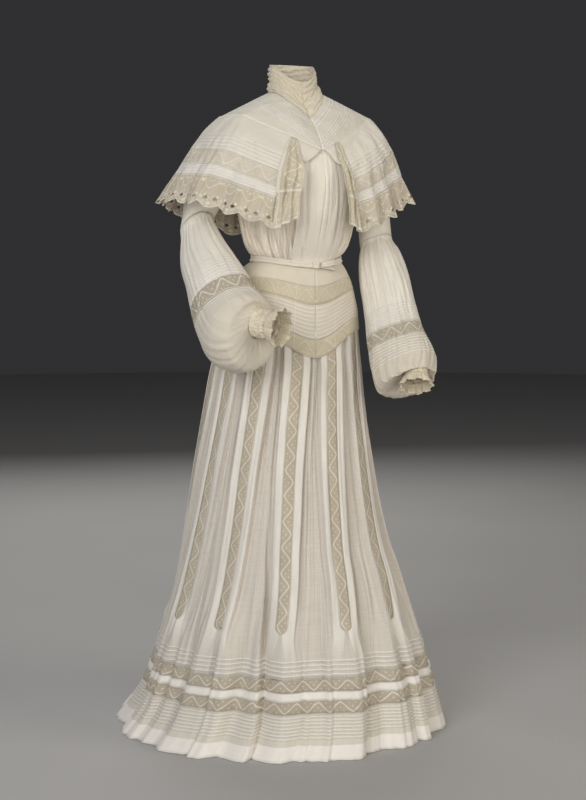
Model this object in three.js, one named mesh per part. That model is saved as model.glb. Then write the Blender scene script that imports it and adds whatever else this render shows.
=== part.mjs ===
// A wedding dress of fine ivory muslin and lace from about 1900, filled out as worn: high collar, tucked
// yoke, deep cape collar with a scalloped lace edge, pin-tucked vest front, bishop sleeves, a ribbon belt, a
// pointed basque, and a trained skirt with twelve lace insertions and lace bands above the hem.
// Every piece is a closed wall of cloth. Sizes are in millimetres. +Z is up, -Y is the wearer's front, and +X is
// the wearer's left. The tables give heights above the floor that the hem touches, and the last lines bring the
// origin up to the shoulders, where the wearer carries the dress.
import * as THREE from "three";

const SHOULDER_HEIGHT = 1311;
const CLOTH = 1.4;
const LACE = 1.2;
const SEAM = 0.45;
const DEGREE = Math.PI / 180;

const IVORY = 0xe9e1cf;
const WHITE = 0xf1ece0;
const NET = 0xcbbd9d;

const dress = new THREE.Group();

// Small helpers for numbers and points.
const mix = (a, b, t) => a + (b - a) * t;
const clamp = (t, low = 0, high = 1) => Math.min(high, Math.max(low, t));
const ease = (t) => clamp(t) ** 2 * (3 - 2 * clamp(t));
const add = (p, q, k = 1) => [p[0] + q[0] * k, p[1] + q[1] * k, p[2] + q[2] * k];
const between = (p, q, t) => p.map((value, k) => mix(value, q[k], t));
const dot = (p, q) => p[0] * q[0] + p[1] * q[1] + p[2] * q[2];
const cross = (p, q) => [p[1] * q[2] - p[2] * q[1], p[2] * q[0] - p[0] * q[2], p[0] * q[1] - p[1] * q[0]];
const unit = (p) => p.map((value) => value / (Math.hypot(...p) || 1));

// One row of a table, read at any place along its key column by a smooth curve through the rows.
function readTable(rows, key, at) {
  const place = clamp(at, rows[0][key], rows[rows.length - 1][key]);
  const next = Math.max(1, rows.findIndex((row) => row[key] >= place));
  const [before, low, high, after] = [next - 2, next - 1, next, next + 1].map(
    (k) => rows[clamp(k, 0, rows.length - 1)],
  );
  const span = high[key] - low[key];
  const t = (place - low[key]) / span;
  const row = {};
  for (const column of Object.keys(low)) {
    const slopeLow = ((high[column] - before[column]) / (high[key] - before[key])) * span;
    const slopeHigh = ((after[column] - low[column]) / (after[key] - low[key])) * span;
    row[column] =
      low[column] * (2 * t ** 3 - 3 * t ** 2 + 1) +
      slopeLow * (t ** 3 - 2 * t ** 2 + t) +
      high[column] * (3 * t ** 2 - 2 * t ** 3) +
      slopeHigh * (t ** 3 - t ** 2);
  }
  return row;
}

// A point of a level oval at an angle from the front, positive towards the wearer's left.
function onOval(section, angle, height, out = 0) {
  const { wide, front, back, setBack = 0, shift = 0 } = section;
  const deep = Math.cos(angle) > 0 ? front : back;
  return [
    shift + (wide + out) * Math.sin(angle),
    setBack - (deep + out) * Math.cos(angle),
    height,
  ];
}

// A closed wall over a grid of points on its outer side. Columns run anticlockwise seen from above and rows run
// upwards, so that the inner side lies to the left. Cells that keep() turns down are left open.
function wall(name, colour, columns, rows, pointAt, { closed = false, thick = CLOTH, keep = () => true } = {}) {
  const acrossCells = closed ? columns : columns - 1;
  const wrap = (i) => (closed ? (i + columns) % columns : i);
  const outer = [];
  for (let i = 0; i < columns; i++)
    for (let j = 0; j < rows; j++) outer.push(pointAt(i, j));
  const at = (i, j) => wrap(i) * rows + j;
  const kept = (i, j) => {
    if (j < 0 || j >= rows - 1) return false;
    if (!closed && (i < 0 || i >= acrossCells)) return false;
    return keep(wrap(i), j);
  };
  const facings = outer.map(() => []);
  for (let i = 0; i < acrossCells; i++)
    for (let j = 0; j < rows - 1; j++) {
      const corners = [at(i, j), at(i + 1, j), at(i + 1, j + 1), at(i, j + 1)];
      const [a, b, c, d] = corners.map((k) => outer[k]);
      const facing = unit(cross(add(c, a, -1), add(d, b, -1)));
      corners.forEach((k) => facings[k].push(facing));
    }
  const inner = outer.map((point, k) => {
    const normal = unit(facings[k].reduce((sum, facing) => add(sum, facing), [0, 0, 0]));
    const leanest = Math.min(...facings[k].map((facing) => dot(normal, facing)));
    return add(point, normal, -thick / clamp(leanest, 0.65, 1));
  });
  const positions = new Float32Array([...outer, ...inner].flat());
  const inside = outer.length;
  const faces = [];
  const quad = (a, b, c, d) => faces.push(a, b, c, a, c, d);
  for (let i = 0; i < acrossCells; i++)
    for (let j = 0; j < rows - 1; j++) {
      if (!kept(i, j)) continue;
      const [a, b, c, d] = [at(i, j), at(i + 1, j), at(i + 1, j + 1), at(i, j + 1)];
      quad(a, b, c, d);
      quad(inside + a, inside + d, inside + c, inside + b);
      if (!kept(i, j - 1)) quad(b, a, inside + a, inside + b);
      if (!kept(i + 1, j)) quad(c, b, inside + b, inside + c);
      if (!kept(i, j + 1)) quad(d, c, inside + c, inside + d);
      if (!kept(i - 1, j)) quad(a, d, inside + d, inside + a);
    }
  addPiece(name, colour, positions, faces);
}

function addPiece(name, colour, positions, faces) {
  const geometry = new THREE.BufferGeometry();
  geometry.setAttribute("position", new THREE.BufferAttribute(positions, 3));
  geometry.setIndex(faces);
  geometry.computeVertexNormals();
  const material = new THREE.MeshStandardMaterial({ color: colour, roughness: 0.85, metalness: 0 });
  const mesh = new THREE.Mesh(geometry, material);
  mesh.name = name;
  dress.add(mesh);
}

// The figure's outline. Torso of the blouse, from the waist up to the shoulder ends.
const TORSO = [
  { height: 990, wide: 91, front: 90, back: 84 },
  { height: 1012, wide: 92, front: 91, back: 82 },
  { height: 1035, wide: 106, front: 103, back: 89 },
  { height: 1060, wide: 118, front: 114, back: 93 },
  { height: 1090, wide: 126, front: 124, back: 99 },
  { height: 1121, wide: 132, front: 130, back: 105 },
  { height: 1160, wide: 139, front: 134, back: 112 },
  { height: 1185, wide: 146, front: 133, back: 116 },
  { height: 1220, wide: 157, front: 127, back: 116 },
  { height: 1250, wide: 165, front: 118, back: 111 },
  { height: 1280, wide: 169, front: 107, back: 104 },
  { height: 1311, wide: 170, front: 92, back: 92 },
  { height: 1330, wide: 168, front: 82, back: 82 },
];
const HIPS = [
  { height: 780, wide: 165, front: 128, back: 182, setBack: 30 },
  { height: 800, wide: 163, front: 126, back: 178, setBack: 30 },
  { height: 856, wide: 158, front: 122, back: 172, setBack: 28 },
  { height: 900, wide: 152, front: 119, back: 165, setBack: 25 },
  { height: 956, wide: 134, front: 111, back: 140, setBack: 18 },
  { height: 990, wide: 112, front: 99, back: 112, setBack: 8 },
  { height: 1008, wide: 95, front: 92, back: 88, setBack: 1 },
  { height: 1025, wide: 94, front: 92, back: 84, setBack: 0 },
];
const SKIRT = [
  { height: 0, wide: 360, front: 352, back: 400, setBack: 14, shift: -26, turn: -18 },
  { height: 52, wide: 332, front: 330, back: 360, setBack: 14, shift: -14, turn: -17.5 },
  { height: 107, wide: 313, front: 310, back: 330, setBack: 14, shift: -9, turn: -17 },
  { height: 168, wide: 294, front: 290, back: 304, setBack: 14, shift: -8, turn: -16.4 },
  { height: 231, wide: 276, front: 270, back: 282, setBack: 15, shift: -8, turn: -15.6 },
  { height: 292, wide: 257, front: 250, back: 262, setBack: 16, shift: -8, turn: -14.2 },
  { height: 351, wide: 240, front: 232, back: 247, setBack: 18, shift: -10, turn: -12.6 },
  { height: 398, wide: 226, front: 216, back: 238, setBack: 20, shift: -13, turn: -11.2 },
  { height: 475, wide: 210, front: 194, back: 228, setBack: 22, shift: -14, turn: -8.8 },
  { height: 560, wide: 197, front: 168, back: 214, setBack: 25, shift: -12, turn: -6 },
  { height: 643, wide: 184, front: 150, back: 202, setBack: 28, shift: -9, turn: -3.4 },
  { height: 717, wide: 173, front: 138, back: 192, setBack: 30, shift: -6, turn: -1.2 },
  { height: 780, wide: 166, front: 129, back: 183, setBack: 30, shift: -3, turn: 0 },
  { height: 870, wide: 157, front: 121, back: 170, setBack: 27, shift: 0, turn: 0 },
];

const sectionAt = (table, height) => readTable(table, "height", height);
const torsoPoint = (angle, height, out = 0) => onOval(sectionAt(TORSO, height), angle, height, out);
const hipPoint = (angle, height, out = 0) => onOval(sectionAt(HIPS, height), angle, height, out);

// How far towards the front or back an angle lies: 1 there, falling in a straight line to 0 at the reach.
const towardsFront = (angle, reach) => clamp(1 - Math.abs(angle) / (reach * DEGREE));
const towardsBack = (angle, reach) => clamp(1 - (Math.PI - Math.abs(angle)) / (reach * DEGREE));

const waistHeight = (angle) => 1011 - 12 * Math.cos(angle) ** 3;
const basqueEdgeHeight = (angle) => 856 - 54 * Math.exp(-((angle / (28 * DEGREE)) ** 2)) - 22 * towardsBack(angle, 60) ** 2;
const yokeEdgeHeight = (angle) => 1311 - 73 * towardsFront(angle, 60) ** 1.1 - 56 * towardsBack(angle, 65) ** 1.1;
const neckHeight = (angle) => 1362 - 55 * towardsFront(angle, 75) ** 1.2 + 4 * towardsBack(angle, 90);

// Skirt. Its cloth is twelve equal units of thirty degrees, each with an insertion in the middle, a flat tuck at
// either side of it, and a fold where it meets the next unit.
const UNITS = 12;
const UNIT = (2 * Math.PI) / UNITS;
const INSERTION_HALF = 13;
const TUCK_EDGE = 29;
const TUCK_UNDER = 31.5;
const INSERTION_END = 245;
const GORE_BOTTOM = 155;
// How deep the fold after each unit goes in at the top and at the hem, starting at the centre front fold.
const FOLDS = [
  { top: 9, hem: 10 },
  { top: 13, hem: 30 },
  { top: 12, hem: 16 },
  { top: 13, hem: 24 },
  { top: 12, hem: 18 },
  { top: 14, hem: 26 },
  { top: 15, hem: 32 },
  { top: 14, hem: 22 },
  { top: 12, hem: 27 },
  { top: 13, hem: 17 },
  { top: 12, hem: 14 },
  { top: 13, hem: 24 },
];

// The skirt's columns in one half of a unit, out from the middle: where each lies and how far it stands out, near
// the top in millimetres along the cloth, and at the hem as a share of half the unit.
const HALF_UNIT = [
  { top: INSERTION_HALF, hem: 0.25, outTop: 0, outHem: 0.05 },
  { top: TUCK_EDGE, hem: 0.58, outTop: 1.5, outHem: 0 },
  { top: TUCK_UNDER, hem: 0.8, outTop: -1, outHem: -0.6 },
];
const halfUnitLength = (height) => {
  const { wide, front, back } = sectionAt(SKIRT, height);
  return ((wide * 2 + front + back) / 4) * (UNIT / 2);
};

function skirtPoint(patternAngle, out, height) {
  const section = sectionAt(SKIRT, height);
  return onOval(section, patternAngle + section.turn * DEGREE, height, out);
}

// A column of the skirt: unit number, side of the unit's middle, and place in the half unit.
function skirtColumn(unitNumber, side, step, height) {
  const middle = (unitNumber + 0.5) * UNIT;
  const fold = FOLDS[(unitNumber + (side > 0 ? 1 : 0) + UNITS) % UNITS];
  const half = halfUnitLength(height);
  const released = ease((330 - height) / 180);
  const hidden = ease((height - 790) / 40);
  if (step === HALF_UNIT.length) {
    const out = mix(-0.6 * fold.top, -fold.hem, released);
    return [middle + (side * UNIT) / 2, mix(out, Math.min(out, -3), hidden)];
  }
  const place = HALF_UNIT[step];
  const rounded = step === 0 && Math.abs(height - INSERTION_END) < 1 ? 6 : place.top;
  const along = mix(rounded, place.hem * half, ease((INSERTION_END - height) / 80));
  const outTop = place.outTop < 0 ? place.outTop * fold.top : place.outTop;
  const outHem = place.outHem < 0 ? place.outHem * fold.hem : place.outHem * 60;
  return [middle + (side * (along / half) * UNIT) / 2, mix(outTop, outHem, released)];
}

const COLUMNS_IN_UNIT = 7;
const SKIRT_ROWS = [GORE_BOTTOM + SEAM, 200, INSERTION_END, 262, 380, 560, 745];
const goreRows = SKIRT_ROWS.length + 2;
const underBasque = -CLOTH - 1.5;

function gorePoint(unitNumber, side, step, row, trim = 0) {
  const [rough] = skirtColumn(unitNumber, side, step, 800);
  const edge = basqueEdgeHeight(signed(rough));
  const height = [...SKIRT_ROWS, edge - 3, edge + 9][row];
  const [angle, out] = skirtColumn(unitNumber, side, step, height);
  const turned = angle + ((side * trim) / halfUnitLength(height)) * (UNIT / 2);
  if (row < SKIRT_ROWS.length) return skirtPoint(turned, out, height);
  return hipPoint(turned, height, Math.min(out, 0) + underBasque);
}

// The order of a unit's columns, from its first fold round to its last.
const UNIT_ORDER = [
  { side: -1, step: 3 },
  { side: -1, step: 2 },
  { side: -1, step: 1 },
  { side: -1, step: 0 },
  { side: 1, step: 0 },
  { side: 1, step: 1 },
  { side: 1, step: 2 },
];
const SLOT_CELL = 3;

// Four gores of three units each. Each starts in the middle of a unit's insertion.
const GORES = [
  { name: "skirt_gore_left", firstUnit: 1 },
  { name: "skirt_gore_back", firstUnit: 4 },
  { name: "skirt_gore_right", firstUnit: 7 },
  { name: "skirt_gore_front", firstUnit: 10 },
];
for (const gore of GORES) {
  const count = 3 * COLUMNS_IN_UNIT;
  const spot = (i) => {
    const k = i + SLOT_CELL + 1;
    return { unitNumber: gore.firstUnit + Math.floor(k / COLUMNS_IN_UNIT), ...UNIT_ORDER[k % COLUMNS_IN_UNIT] };
  };
  const seamRow = SKIRT_ROWS.indexOf(INSERTION_END);
  wall(
    gore.name,
    IVORY,
    count + 2,
    goreRows,
    (i, j) => {
      const end = i === 0 ? 0 : i === count + 1 ? count - 1 : -1;
      const { unitNumber, side, step } = spot(end < 0 ? i - 1 : end);
      if (end < 0) return gorePoint(unitNumber % UNITS, side, step, j);
      // The outer columns meet the next gore in the middle of the insertion's unit, below the insertion.
      const edge = gorePoint(unitNumber % UNITS, side, step, j);
      if (j > seamRow) return edge;
      const other = gorePoint(unitNumber % UNITS, -side, step, j);
      const middle = between(edge, other, 0.5);
      return add(middle, unit(add(edge, other, -1)), SEAM / 2);
    },
    {
      keep: (i, j) => {
        if (i === 0 || i === count) return j < seamRow;
        return !((i - 1) % COLUMNS_IN_UNIT === COLUMNS_IN_UNIT - 1 && j >= seamRow);
      },
    },
  );
}

for (let unitNumber = 0; unitNumber < UNITS; unitNumber++) {
  const bottom = SKIRT_ROWS.indexOf(INSERTION_END);
  wall(
    `skirt_lace_${String(unitNumber + 1).padStart(2, "0")}`,
    NET,
    2,
    goreRows - bottom,
    (i, j) => {
      const point = gorePoint(unitNumber, i ? 1 : -1, 0, j + bottom, -SEAM);
      return j === 0 ? add(point, [0, 0, SEAM]) : point;
    },
    { thick: LACE },
  );
}

// Bands above the hem.
const HEM_BANDS = [
  { name: "hem_lace_upper", colour: NET, thick: LACE, heights: [129, 155] },
  { name: "hem_band", colour: WHITE, thick: CLOTH, heights: [113, 129] },
  { name: "hem_lace_lower", colour: NET, thick: LACE, heights: [87, 113] },
  { name: "hem_flounce", colour: WHITE, thick: CLOTH, heights: [0, 31, 87] },
];
const HEM_UNIT = [-1, -0.55, 0, 0.55];
const hemBump = (share) => Math.cos((clamp((1 - share) / 0.5) * Math.PI) / 2) ** 2;

function hemPoint(position, height) {
  const unitNumber = Math.floor(position);
  const share = (position - unitNumber) * 2 - 1;
  const fold = FOLDS[(unitNumber + (share > 0 ? 1 : 0)) % UNITS];
  const out = 3 * (1 - Math.abs(share)) - fold.hem * hemBump(Math.abs(share));
  return skirtPoint(position * UNIT, out * ease((420 - height) / 250), height);
}

for (const band of HEM_BANDS)
  wall(
    band.name,
    band.colour,
    UNITS * HEM_UNIT.length,
    band.heights.length,
    (i, j) => {
      const place = Math.floor(i / HEM_UNIT.length) + (HEM_UNIT[i % HEM_UNIT.length] + 1) / 2;
      return hemPoint(place, band.heights[j] + (j === 0 ? 0 : -SEAM));
    },
    { closed: true, thick: band.thick },
  );

// Basque: a pointed hip yoke in four rings from the waist down.
const BASQUE_COLUMNS = 36;
const BASQUE_RINGS = [
  { name: "basque_lace_lower", colour: NET, thick: LACE, shares: [1, 0.81] },
  { name: "basque_tucks", colour: IVORY, thick: CLOTH, shares: [0.81, 0.43] },
  { name: "basque_lace_upper", colour: NET, thick: LACE, shares: [0.43, 0.24] },
  { name: "basque_top", colour: IVORY, thick: CLOTH, shares: [0.24, 0.07, 0] },
];
for (const ring of BASQUE_RINGS)
  wall(
    ring.name,
    ring.colour,
    BASQUE_COLUMNS,
    ring.shares.length,
    (i, j) => {
      const angle = signed((i * 2 * Math.PI) / BASQUE_COLUMNS);
      const height = mix(waistHeight(angle), basqueEdgeHeight(angle), ring.shares[j]);
      return hipPoint(angle, height + (j === 0 ? 0 : -SEAM));
    },
    { closed: true, thick: ring.thick },
  );

// An angle brought between minus and plus half a turn.
function signed(angle) {
  return angle > Math.PI ? angle - 2 * Math.PI : angle;
}

// Belt: a narrow folded ribbon tied in a small bow at the front.
const BELT_OUT = CLOTH + 2.9;
const BELT_HALF = 6;
function beltPoint(angle, up, out = 0) {
  const height = waistHeight(angle) + up;
  const hip = hipPoint(angle, Math.min(height, waistHeight(angle)), BELT_OUT + out);
  const blouse = torsoPoint(angle, height, BELT_OUT + out);
  const widest = Math.hypot(hip[0], hip[1]) > Math.hypot(blouse[0], blouse[1]) ? hip : blouse;
  return [widest[0], widest[1], height];
}
wall(
  "belt",
  WHITE,
  BASQUE_COLUMNS,
  3,
  (i, j) => beltPoint(signed((i * 2 * Math.PI) / BASQUE_COLUMNS), (j - 1) * BELT_HALF),
  { closed: true },
);

// Bodice fronts and back, each from the waist to the yoke, cut away for the armholes.
const UNDERARM = 1185;
const ARMHOLE = [
  { height: 1185, angle: 90 },
  { height: 1200, angle: 74 },
  { height: 1225, angle: 63 },
  { height: 1255, angle: 58.5 },
  { height: 1285, angle: 57 },
  { height: 1311, angle: 58 },
];
const armholeAngle = (height) => (height <= UNDERARM ? 90 : readTable(ARMHOLE, "height", height).angle);
const VEST_EDGE = 19;
const BODICE_SHARES = [0, 0.025, 0.08, 0.16, 0.3, 0.46, 0.6, 0.7, 0.85, 1];

// A point of a bodice panel: across from 0 at its inner edge to 1 at its side seam or armhole.
function bodicePoint(across, share, innerEdge, isBack, side) {
  const innerAngle = innerEdge * DEGREE;
  let angle = innerAngle;
  let height = 0;
  // The top edge and the armhole depend on each other, so a few rounds settle them.
  for (let round = 0; round < 8; round++) {
    const facing = isBack ? Math.PI - angle : angle;
    height = mix(waistHeight(facing) + SEAM, yokeEdgeHeight(facing) - 2, share);
    angle = mix(innerAngle, armholeAngle(height) * DEGREE - SEAM / 150, across);
  }
  return torsoPoint(side * (isBack ? Math.PI - angle : angle), height);
}

for (const side of [-1, 1])
  wall(
    side < 0 ? "bodice_front_right" : "bodice_front_left",
    IVORY,
    8,
    BODICE_SHARES.length,
    (i, j) => bodicePoint(side > 0 ? i / 7 : 1 - i / 7, BODICE_SHARES[j], VEST_EDGE, false, side),
  );
wall("bodice_back", IVORY, 13, BODICE_SHARES.length, (i, j) => {
  const across = (i - 6) / 6;
  return bodicePoint(Math.abs(across), BODICE_SHARES[j], 0, true, across < 0 ? 1 : -1);
});

// Vest front: a pin-tucked panel that lies on the bodice fronts.
const VEST = [
  { share: 0, half: 33 },
  { share: 0.25, half: 27 },
  { share: 0.6, half: 25 },
  { share: 0.85, half: 18 },
  { share: 1, half: 12 },
];
const VEST_COLUMNS = 11;
const VEST_SHARES = [0.035, 0.08, 0.16, 0.3, 0.46, 0.6, 0.78, 0.98];
wall("vest_front", WHITE, VEST_COLUMNS, VEST_SHARES.length, (i, j) => {
  const share = VEST_SHARES[j];
  const across = (i / (VEST_COLUMNS - 1)) * 2 - 1;
  const angle = across * readTable(VEST, "share", share).half * DEGREE;
  const height = mix(waistHeight(angle), yokeEdgeHeight(angle) - 2, share);
  const folded = i % 2 ? 0 : 1.6 * Math.sin(Math.PI * clamp(share, 0.08, 0.9));
  return torsoPoint(angle, height, CLOTH + 1.2 + folded);
});

// Yoke and collar. Both halves meet at the centre front and the centre back.
const NECK = { wide: 57, front: 76, back: 46, setBack: 10 };
const NECK_ANGLES = [0, 9, 18, 28, 38, 48, 58, 72, 90, 107, 122, 136, 150, 165, 180];
const neckPoint = (angle, out = 0) => onOval(NECK, angle, neckHeight(angle), out);

function yokePoint(angle, share) {
  const neck = neckPoint(angle);
  const edge = torsoPoint(angle, yokeEdgeHeight(angle));
  const swell = Math.sin(Math.PI * share) * 7 * Math.cos(angle) ** 2;
  return add(between(neck, edge, share), [0, -Math.sign(Math.cos(angle)) * swell * 0.8, swell * 0.6]);
}

// Angles for one half of a ring about the neck, in order, kept a seam's width from the centre lines.
function halfTurn(side, from = 0) {
  const list = NECK_ANGLES.filter((angle) => angle >= from);
  const trimmed = list.map((angle) => clamp(angle, 0.4, 179.6) * side * DEGREE);
  return side > 0 ? trimmed : trimmed.reverse();
}

for (const side of [-1, 1]) {
  const angles = halfTurn(side);
  const hand = side < 0 ? "right" : "left";
  wall(`yoke_${hand}`, IVORY, angles.length, 4, (i, j) => yokePoint(angles[i], 1 - j / 3));
}

// Collar: soft horizontal folds, highest behind the ears.
const COLLAR = [
  { share: 0, wide: 57, front: 76, back: 46, setBack: 10, out: 0.5 },
  { share: 0.2, wide: 56, front: 66, back: 45, setBack: 13, out: 2 },
  { share: 0.4, wide: 54, front: 56, back: 45, setBack: 16, out: -1 },
  { share: 0.7, wide: 51, front: 50, back: 46, setBack: 18, out: 2 },
  { share: 1, wide: 49, front: 49, back: 47, setBack: 18, out: 1 },
];
const collarTop = (angle) => 1420 - 36 * Math.max(0, Math.cos(angle)) ** 1.5 + 5 * Math.max(0, -Math.cos(angle));
for (const side of [-1, 1]) {
  const angles = halfTurn(side);
  const hand = side < 0 ? "right" : "left";
  wall(`collar_${hand}`, IVORY, angles.length, COLLAR.length, (i, j) => {
    const ring = COLLAR[j];
    const height = mix(neckHeight(angles[i]) + SEAM, collarTop(angles[i]), ring.share);
    return onOval(ring, angles[i], height, j ? ring.out : 0);
  });
}

// Bertha: a deep round cape collar from the yoke's edge, in rings down to the scalloped lace. The wearer's right
// arm is lifted, so that side stands out more. Its two ends stand either side of the vest.
const BERTHA = [
  { share: 0, right: 172, left: 172, front: 94, back: 94, sideDrop: 0, frontDrop: 0, backDrop: 0 },
  { share: 0.22, right: 207, left: 196, front: 142, back: 133, sideDrop: 32, frontDrop: 40, backDrop: 42 },
  { share: 0.45, right: 236, left: 219, front: 158, back: 146, sideDrop: 70, frontDrop: 84, backDrop: 92 },
  { share: 0.6, right: 256, left: 232, front: 159, back: 152, sideDrop: 98, frontDrop: 112, backDrop: 124 },
  { share: 0.72, right: 273, left: 243, front: 163, back: 157, sideDrop: 122, frontDrop: 134, backDrop: 150 },
  { share: 1, right: 312, left: 266, front: 170, back: 166, sideDrop: 182, frontDrop: 197, backDrop: 212 },
];
// Soft flutes in the cape: where each crest lies, how wide it is, and how far it stands out at the edge.
const FLUTES = [
  { angle: 33, half: 11, out: 9 },
  { angle: 58, half: 12, out: 12 },
  { angle: 103, half: 16, out: 14 },
  { angle: 138, half: 14, out: 12 },
  { angle: 165, half: 12, out: 12 },
];
const BERTHA_FRONT = { right: 20.5, left: 14.5 };
const sideName = (side) => (side < 0 ? "right" : "left");

function berthaPoint(angle, share) {
  const ring = readTable(BERTHA, "share", share);
  const turn = Math.abs(angle) / DEGREE;
  const overVest = 6.5 * towardsFront(angle, 45) * (Math.cos(angle) > 0 ? 1 : 0);
  const start = torsoPoint(angle, yokeEdgeHeight(angle) - SEAM, CLOTH + 2.2 + overVest + 1.2 * towardsBack(angle, 60));
  const flute = FLUTES.reduce(
    (sum, crest) => sum + crest.out * Math.exp(-(((turn - crest.angle) / crest.half) ** 2)),
    0,
  );
  const section = { wide: angle < 0 ? ring.right : ring.left, front: ring.front, back: ring.back };
  const endDrop = Math.cos(angle) > 0 ? ring.frontDrop : ring.backDrop;
  const drop = mix(ring.sideDrop, endDrop, Math.cos(angle) ** 2);
  const free = onOval(section, angle, yokeEdgeHeight(angle) - drop, (flute - 6) * share ** 2);
  return between(start, free, ease(share / 0.22));
}

const BERTHA_BANDS = [
  { name: "bertha_cloth", colour: IVORY, thick: CLOTH, shares: [0.45, 0.22, 0.08, 0] },
  { name: "bertha_lace", colour: NET, thick: LACE, shares: [0.6, 0.45] },
  { name: "bertha_band", colour: WHITE, thick: CLOTH, shares: [0.72, 0.6] },
];
const BERTHA_COLUMNS = 21;
for (const side of [-1, 1])
  for (const band of BERTHA_BANDS) {
    const front = BERTHA_FRONT[sideName(side)];
    wall(
      `${band.name}_${sideName(side)}`,
      band.colour,
      BERTHA_COLUMNS,
      band.shares.length,
      (i, j) => {
        const across = (side > 0 ? i : BERTHA_COLUMNS - 1 - i) / (BERTHA_COLUMNS - 1);
        const angle = mix(front, 179.85, across) * side * DEGREE;
        return add(berthaPoint(angle, band.shares[j]), [0, 0, j === 0 ? 0 : -SEAM]);
      },
      { thick: band.thick },
    );
  }

// Scalloped lace at the cape's edge, with two holes cut through each scallop.
const SCALLOPS = 16;
const SCALLOP_CELLS = 5;
const SCALLOP_DEPTH = 0.045;
const EDGING_SHARES = [1, 0.93, 0.9, 0.72];
for (const side of [-1, 1]) {
  const front = BERTHA_FRONT[sideName(side)];
  const cells = SCALLOPS * SCALLOP_CELLS;
  const bandCells = BERTHA_COLUMNS - 1;
  const pointAt = (place, share) =>
    berthaPoint(mix(front, 179.85, side > 0 ? place : 1 - place) * side * DEGREE, share);
  wall(
    `bertha_edging_${sideName(side)}`,
    NET,
    cells + 1,
    EDGING_SHARES.length,
    (i, j) => {
      const place = i / cells;
      if (EDGING_SHARES[j] > 0.72) {
        const scallop = Math.abs(Math.sin((Math.PI * i) / SCALLOP_CELLS));
        return pointAt(place, EDGING_SHARES[j] - (j === 0 ? SCALLOP_DEPTH * (1 - scallop) : 0));
      }
      // The seam follows the straight edges of the band above.
      const cell = Math.min(Math.floor(place * bandCells), bandCells - 1);
      const [from, to] = [cell, cell + 1].map((k) => pointAt(k / bandCells, EDGING_SHARES[j]));
      return add(between(from, to, place * bandCells - cell), [0, 0, -SEAM]);
    },
    {
      thick: LACE,
      keep: (i, j) => !(j === 1 && (i % SCALLOP_CELLS === 1 || i % SCALLOP_CELLS === 3)),
    },
  );
}

// Cascades: the cape's two ends, folded to and fro beside the vest and cut on a slant.
const CASCADE_FOLDS = [0, -9, 4, -8, 5, -5];
const CASCADE_SHARES = [1, 0.8, 0.6, 0.4, 0.2, 0.04];
// How many degrees each fold takes up at the edge.
const CASCADE_SPREAD = { right: 1.4, left: 1.3 };
for (const side of [-1, 1]) {
  const last = CASCADE_FOLDS.length - 1;
  wall(`cascade_${sideName(side)}`, WHITE, last + 1, CASCADE_SHARES.length, (i, j) => {
    const fold = side > 0 ? last - i : i;
    const share = CASCADE_SHARES[j] * (1 - 0.05 * fold);
    const turn = BERTHA_FRONT[sideName(side)] - 0.4 - fold * mix(0.9, CASCADE_SPREAD[sideName(side)], share);
    const [x, y, z] = berthaPoint(turn * side * DEGREE, share);
    return [x, y - CASCADE_FOLDS[fold] * share * ease(share / 0.5), z];
  });
}

// Upper sleeves, from the armhole to the gathered seam above the elbow. Each ring is given by its outermost and
// innermost points, how far back its middle lies and its half depth.
const UPPER_SLEEVES = {
  right: [
    { ring: 1, outX: 196, outZ: 1268, inX: 154, inZ: 1186, y: 4, deep: 62 },
    { ring: 2, outX: 226, outZ: 1206, inX: 165, inZ: 1150, y: 14, deep: 50 },
    { ring: 3, outX: 245, outZ: 1145, inX: 175, inZ: 1115, y: 25, deep: 42 },
  ],
  left: [
    { ring: 1, outX: 189, outZ: 1266, inX: 154, inZ: 1186, y: 2, deep: 62 },
    { ring: 2, outX: 211, outZ: 1206, inX: 158, inZ: 1148, y: 4, deep: 50 },
    { ring: 3, outX: 222, outZ: 1125, inX: 157, inZ: 1105, y: 0, deep: 40 },
  ],
};
const SLEEVE_COLUMNS = 20;

// A point of the armhole's edge: turn 0 is the shoulder end, and the turn goes round by the front.
function armholePoint(side, turn) {
  const around = Math.cos(turn);
  const height = mix(UNDERARM + 1, 1306, clamp((around + 1) / 2 + 0.12 * (1 - around ** 2)));
  const rest = clamp((around - 0.55) / 0.45);
  const angle = mix(armholeAngle(height), 90, rest);
  const facing = Math.sin(turn) > 0 ? angle : 180 - angle;
  return torsoPoint(side * facing * DEGREE, height, 0.8);
}

function upperSleevePoint(side, turn, ring) {
  const rows = UPPER_SLEEVES[sideName(side)];
  const { outX, outZ, inX, inZ, y, deep } = readTable(rows, "ring", Math.max(ring, 1));
  const across = (Math.cos(turn) + 1) / 2;
  const point = [side * mix(inX, outX, across), y - deep * Math.sin(turn), mix(inZ, outZ, across)];
  return ring < 1 ? between(armholePoint(side, turn), point, ring) : point;
}

// The turn of each column, so that columns run anticlockwise seen from above on either side.
const sleeveTurn = (side, i) => -side * ((i * 2 * Math.PI) / SLEEVE_COLUMNS);
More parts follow.
